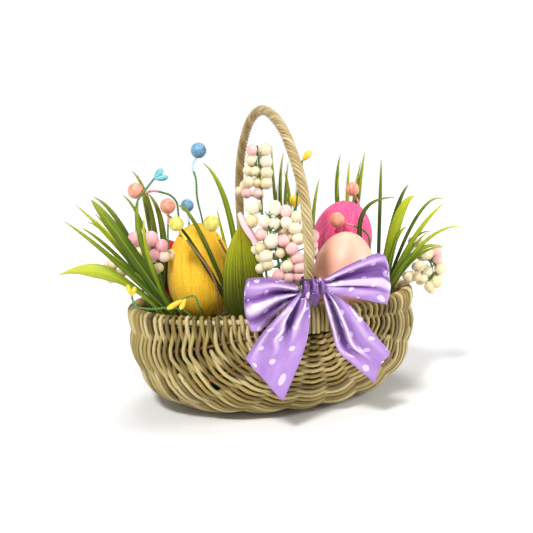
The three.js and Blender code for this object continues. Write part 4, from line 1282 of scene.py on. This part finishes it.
def tail_left_folds(s, t):
    edge = 0.30 + 0.35 * s
    flap = 8.0 * np.clip((edge + 0.06 - t) / 0.05, 0, 1) * hump(t, edge - 0.22, 0.34) * hump(s, 0.28, 0.22)
    pocket = 5.0 * hump(t, edge + 0.14, 0.09) * hump(s, 0.34, 0.20)
    drape = 4.0 * hump(t, 0.84 - 0.2 * s, 0.06) * hump(s, 0.30, 0.20)
    drape = drape + 2.0 * hump(t, 0.14, 0.08) * hump(s, 0.6, 0.2)
    zigzag = 2.6 * hump(t, 0.47 + 0.05 * np.sin(30 * s), 0.05) * hump(s, 0.52, 0.14)
    return flap - pocket + drape + zigzag


TAIL_RIGHT = [
    [(5, -114, 108), (6, -115, 108), (8, -115, 108), (10, -115, 108), (11, -115, 107)],
    [(7, -114, 95), (11, -115, 96), (15, -116, 97), (20, -116, 98), (24, -117, 97)],
    [(11, -115, 77), (16, -116, 78), (22, -117, 80), (28, -119, 82), (35, -120, 83)],
    [(15, -116, 60), (21, -117, 62), (28, -118, 64), (36, -120, 67), (45, -122, 69)],
    [(28, -118, 46), (34, -119, 49), (39, -120, 54), (46, -122, 58), (52, -123, 60)],
    [(44, -120, 30), (45, -121, 38), (48, -122, 45), (51, -123, 49), (56, -124, 54)],
]


def tail_right_folds(s, t):
    ridge = 4.0 * hump(t, 0.08, 0.09) * hump(s, 0.2, 0.4)
    ridge = ridge + 7.0 * hump(t, 0.48 - 0.05 * s, 0.06) * hump(s, 0.44, 0.24)
    valley = 7.5 * hump(t, 0.30 - 0.03 * s, 0.09) * hump(s, 0.36, 0.26)
    return ridge - valley + 2.0 * hump(t, 0.82, 0.12) * hump(s, 0.5, 0.3)


def pinked(t):
    """Zigzag cut of the right tail's end."""
    return 1.1 * np.abs(((t * 4.5) % 1) * 2 - 1) - 0.5


def knot():
    """Ribbon wrapped once round the middle of the bow, pulled tight, with a small tongue below."""
    count, across = 90, 41
    turn = np.radians(np.linspace(-200, 120, count))[:, None]
    t = np.linspace(-1, 1, across)[None]
    half = 8.5 + 1.5 * np.cos(turn + 0.4)
    pleat = 0.75 * np.sin(9 * t + 1.2 * np.sin(turn)) + 0.4 * np.sin(17 * t + 2)
    tall, deep = 7.0 + pleat - 1.2 * t**2, 4.4 + pleat - 0.8 * t**2
    x = -4 + half * t + 0.8 * np.sin(turn)
    y = -116 - deep * np.cos(turn)
    z = 110.5 + tall * np.sin(turn) + 1.0 * t
    grid = np.stack([x + 0 * turn, y, z], axis=-1) * MM
    over = half * t * 1.4 * MM
    coord = np.stack([over, np.broadcast_to(turn * 6 * MM, over.shape), 0 * over], axis=-1)
    coord += np.array([6 * MM, 3 * MM, 0])
    # painted light on the knot: outer pleats lighter as painted highlight, inner ones darker as painted shade
    tone = np.clip(0.5 + 0.7 * pleat, 0, 1)
    flat = (RIBBON_WIDTH, 0.036)
    # the knot in the darker satin, which is painted shade
    sheet(
        "bow_knot_ribbon", SHADED_SATIN, grid, coord, tone, flat, "bow_knot"
    )
    grid = surface_through(np.array([
        [(-8, -119, 107), (-4, -121, 108), (1, -119, 107)],
        [(-7, -120, 103), (-3, -121.5, 103), (1, -120, 104)],
        [(-5, -119, 98), (-3, -120, 97), (0, -119, 101)],
    ], dtype=float), 20, 17) * MM
    coord = np.stack([grid[..., 0], grid[..., 2], 0 * grid[..., 0]], axis=-1) + np.array([5 * MM, 4 * MM, 0])
    # the tongue in the darker satin, which is painted shade
    sheet("bow_tongue", SHADED_SATIN, grid, coord, 0.5, (0.012, 0.012))


def band():
    """Ribbon turn round the front foot of the handle, behind the knot."""
    turn = np.linspace(0, 2 * np.pi, 73)[:, None]
    t = np.linspace(-1, 1, 25)[None]
    r = 6.1 + 0.25 * np.sin(11 * t + 2 * np.sin(turn)) + 0.12 * np.sin(5 * turn)
    z = 109 + 7.8 * t + 0.6 * np.sin(turn)
    grid = np.stack([r * np.cos(turn), -99.6 + r * np.sin(turn), z], axis=-1) * MM
    coord = np.stack([8 * t * MM + 0 * turn, 6 * turn * MM + 0 * t, 0 * r], axis=-1)
    flat, area = (RIBBON_WIDTH, 0.039), 0.0156 * 0.0388
    # the band in the darker satin, which is painted shade
    sheet("bow_band_ribbon", SHADED_SATIN, grid, coord, 0.5, flat, "bow_band", area)


def bow():
    satin_sheet("bow_loop_left", loop_round(LOOP_LEFT, 11), loop_folds(left_folds), 150)
    satin_sheet("bow_loop_right", loop_round(LOOP_RIGHT, 8), loop_folds(right_folds), 150)
    satin_sheet("bow_tail_left", TAIL_LEFT, tail_left_folds, 110)
    satin_sheet("bow_tail_right", TAIL_RIGHT, tail_right_folds, 110, pinked)
    knot()
    band()


# ================================================================ build
weave()
ribs()
hoop()
lashing("lashing_front", -90)
lashing("lashing_back", 90)
handle()
egg("egg_yellow", YELLOW_EGG, 60, 0.55 * MM)
egg("egg_magenta", MAGENTA_EGG, 34, 0.7 * MM)
egg("egg_red", RED_EGG, 50, 0.5 * MM)
egg("egg_blush", BLUSH_EGG, 0, 0)
moss()
wires_and_beads()
buds()
sprays()
tufts()
single_leaves()
bow()

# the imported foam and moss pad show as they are, with the foam material
for node in ("floral_foam", "moss_pad"):
    materials = bpy.data.objects[node].data.materials
    materials.clear()
    materials.append(FOAM)


# ================================================================ floor, light and camera
def floor():
    line = np.linspace(-3.0, 3.0, 25)
    n = len(line)
    grid = np.array([(x, y, -0.0005) for y in line for x in line])
    corner = np.arange(n * n).reshape(n, n)[:-1, :-1].reshape(-1, 1)
    mesh_object("floor", grid, (corner + [0, 1, n + 1, n]).tolist(), floor_material(), smooth=False)


def area_light(name, place, size, power):
    data = bpy.data.lights.new(name, "AREA")
    data.shape = "DISK"
    data.size, data.energy = size, power
    lamp = linked(name, data)
    lamp.location = place
    lamp.rotation_euler = (Vector((0, 0, 0.1)) - Vector(place)).to_track_quat("-Z", "Y").to_euler()


def world():
    """White round the horizon, dimmer overhead, so that the lamps shape the object."""
    scene_world = bpy.data.worlds.new("studio")
    bpy.context.scene.world = scene_world
    scene_world.use_nodes = True
    tree = scene_world.node_tree
    way = tree.nodes.new("ShaderNodeTexCoord")
    split = tree.nodes.new("ShaderNodeSeparateXYZ")
    ramp = tree.nodes.new("ShaderNodeMapRange")
    ramp.interpolation_type = "SMOOTHSTEP"
    for key, value in (("From Min", 0.2), ("From Max", 0.42), ("To Min", 1.0), ("To Max", 0.2)):
        ramp.inputs[key].default_value = value
    tree.links.new(way.outputs["Generated"], split.inputs[0])
    tree.links.new(split.outputs["Z"], ramp.inputs["Value"])
    tree.links.new(ramp.outputs["Result"], tree.nodes["Background"].inputs["Strength"])
    tree.nodes["Background"].inputs["Color"].default_value = (1, 1, 1, 1)


def camera():
    azimuth, lift, roll, distance = math.radians(17), math.radians(9.5), math.radians(-3.3), 0.7
    right = np.array([math.cos(azimuth), -math.sin(azimuth), 0])
    level = np.array([-math.sin(azimuth), -math.cos(azimuth), 0])
    back = level * math.cos(lift) + np.array([0, 0, math.sin(lift)])
    up = np.cross(back, right)
    matrix = np.eye(4)
    matrix[:3, 0] = right * math.cos(roll) + up * math.sin(roll)
    matrix[:3, 1] = -right * math.sin(roll) + up * math.cos(roll)
    matrix[:3, 2] = back
    matrix[:3, 3] = np.array([0, 0, 0.092]) + distance * back
    data = bpy.data.cameras.new("camera")
    data.sensor_width, data.lens, data.clip_start = 36, 52.34, 0.01
    data.shift_x, data.shift_y = -0.0105, 0.0454
    obj = linked("camera", data)
    obj.matrix_world = Matrix(matrix.tolist())
    bpy.context.scene.camera = obj


floor()
world()
area_light("key", (-0.75, -1.0, 1.4), 0.35, 29)
area_light("side", (1.2, -0.9, 0.8), 0.5, 14)
area_light("top", (0.2, 0.5, 1.7), 1.0, 14)
camera()
bpy.context.scene.view_settings.view_transform = "Standard"
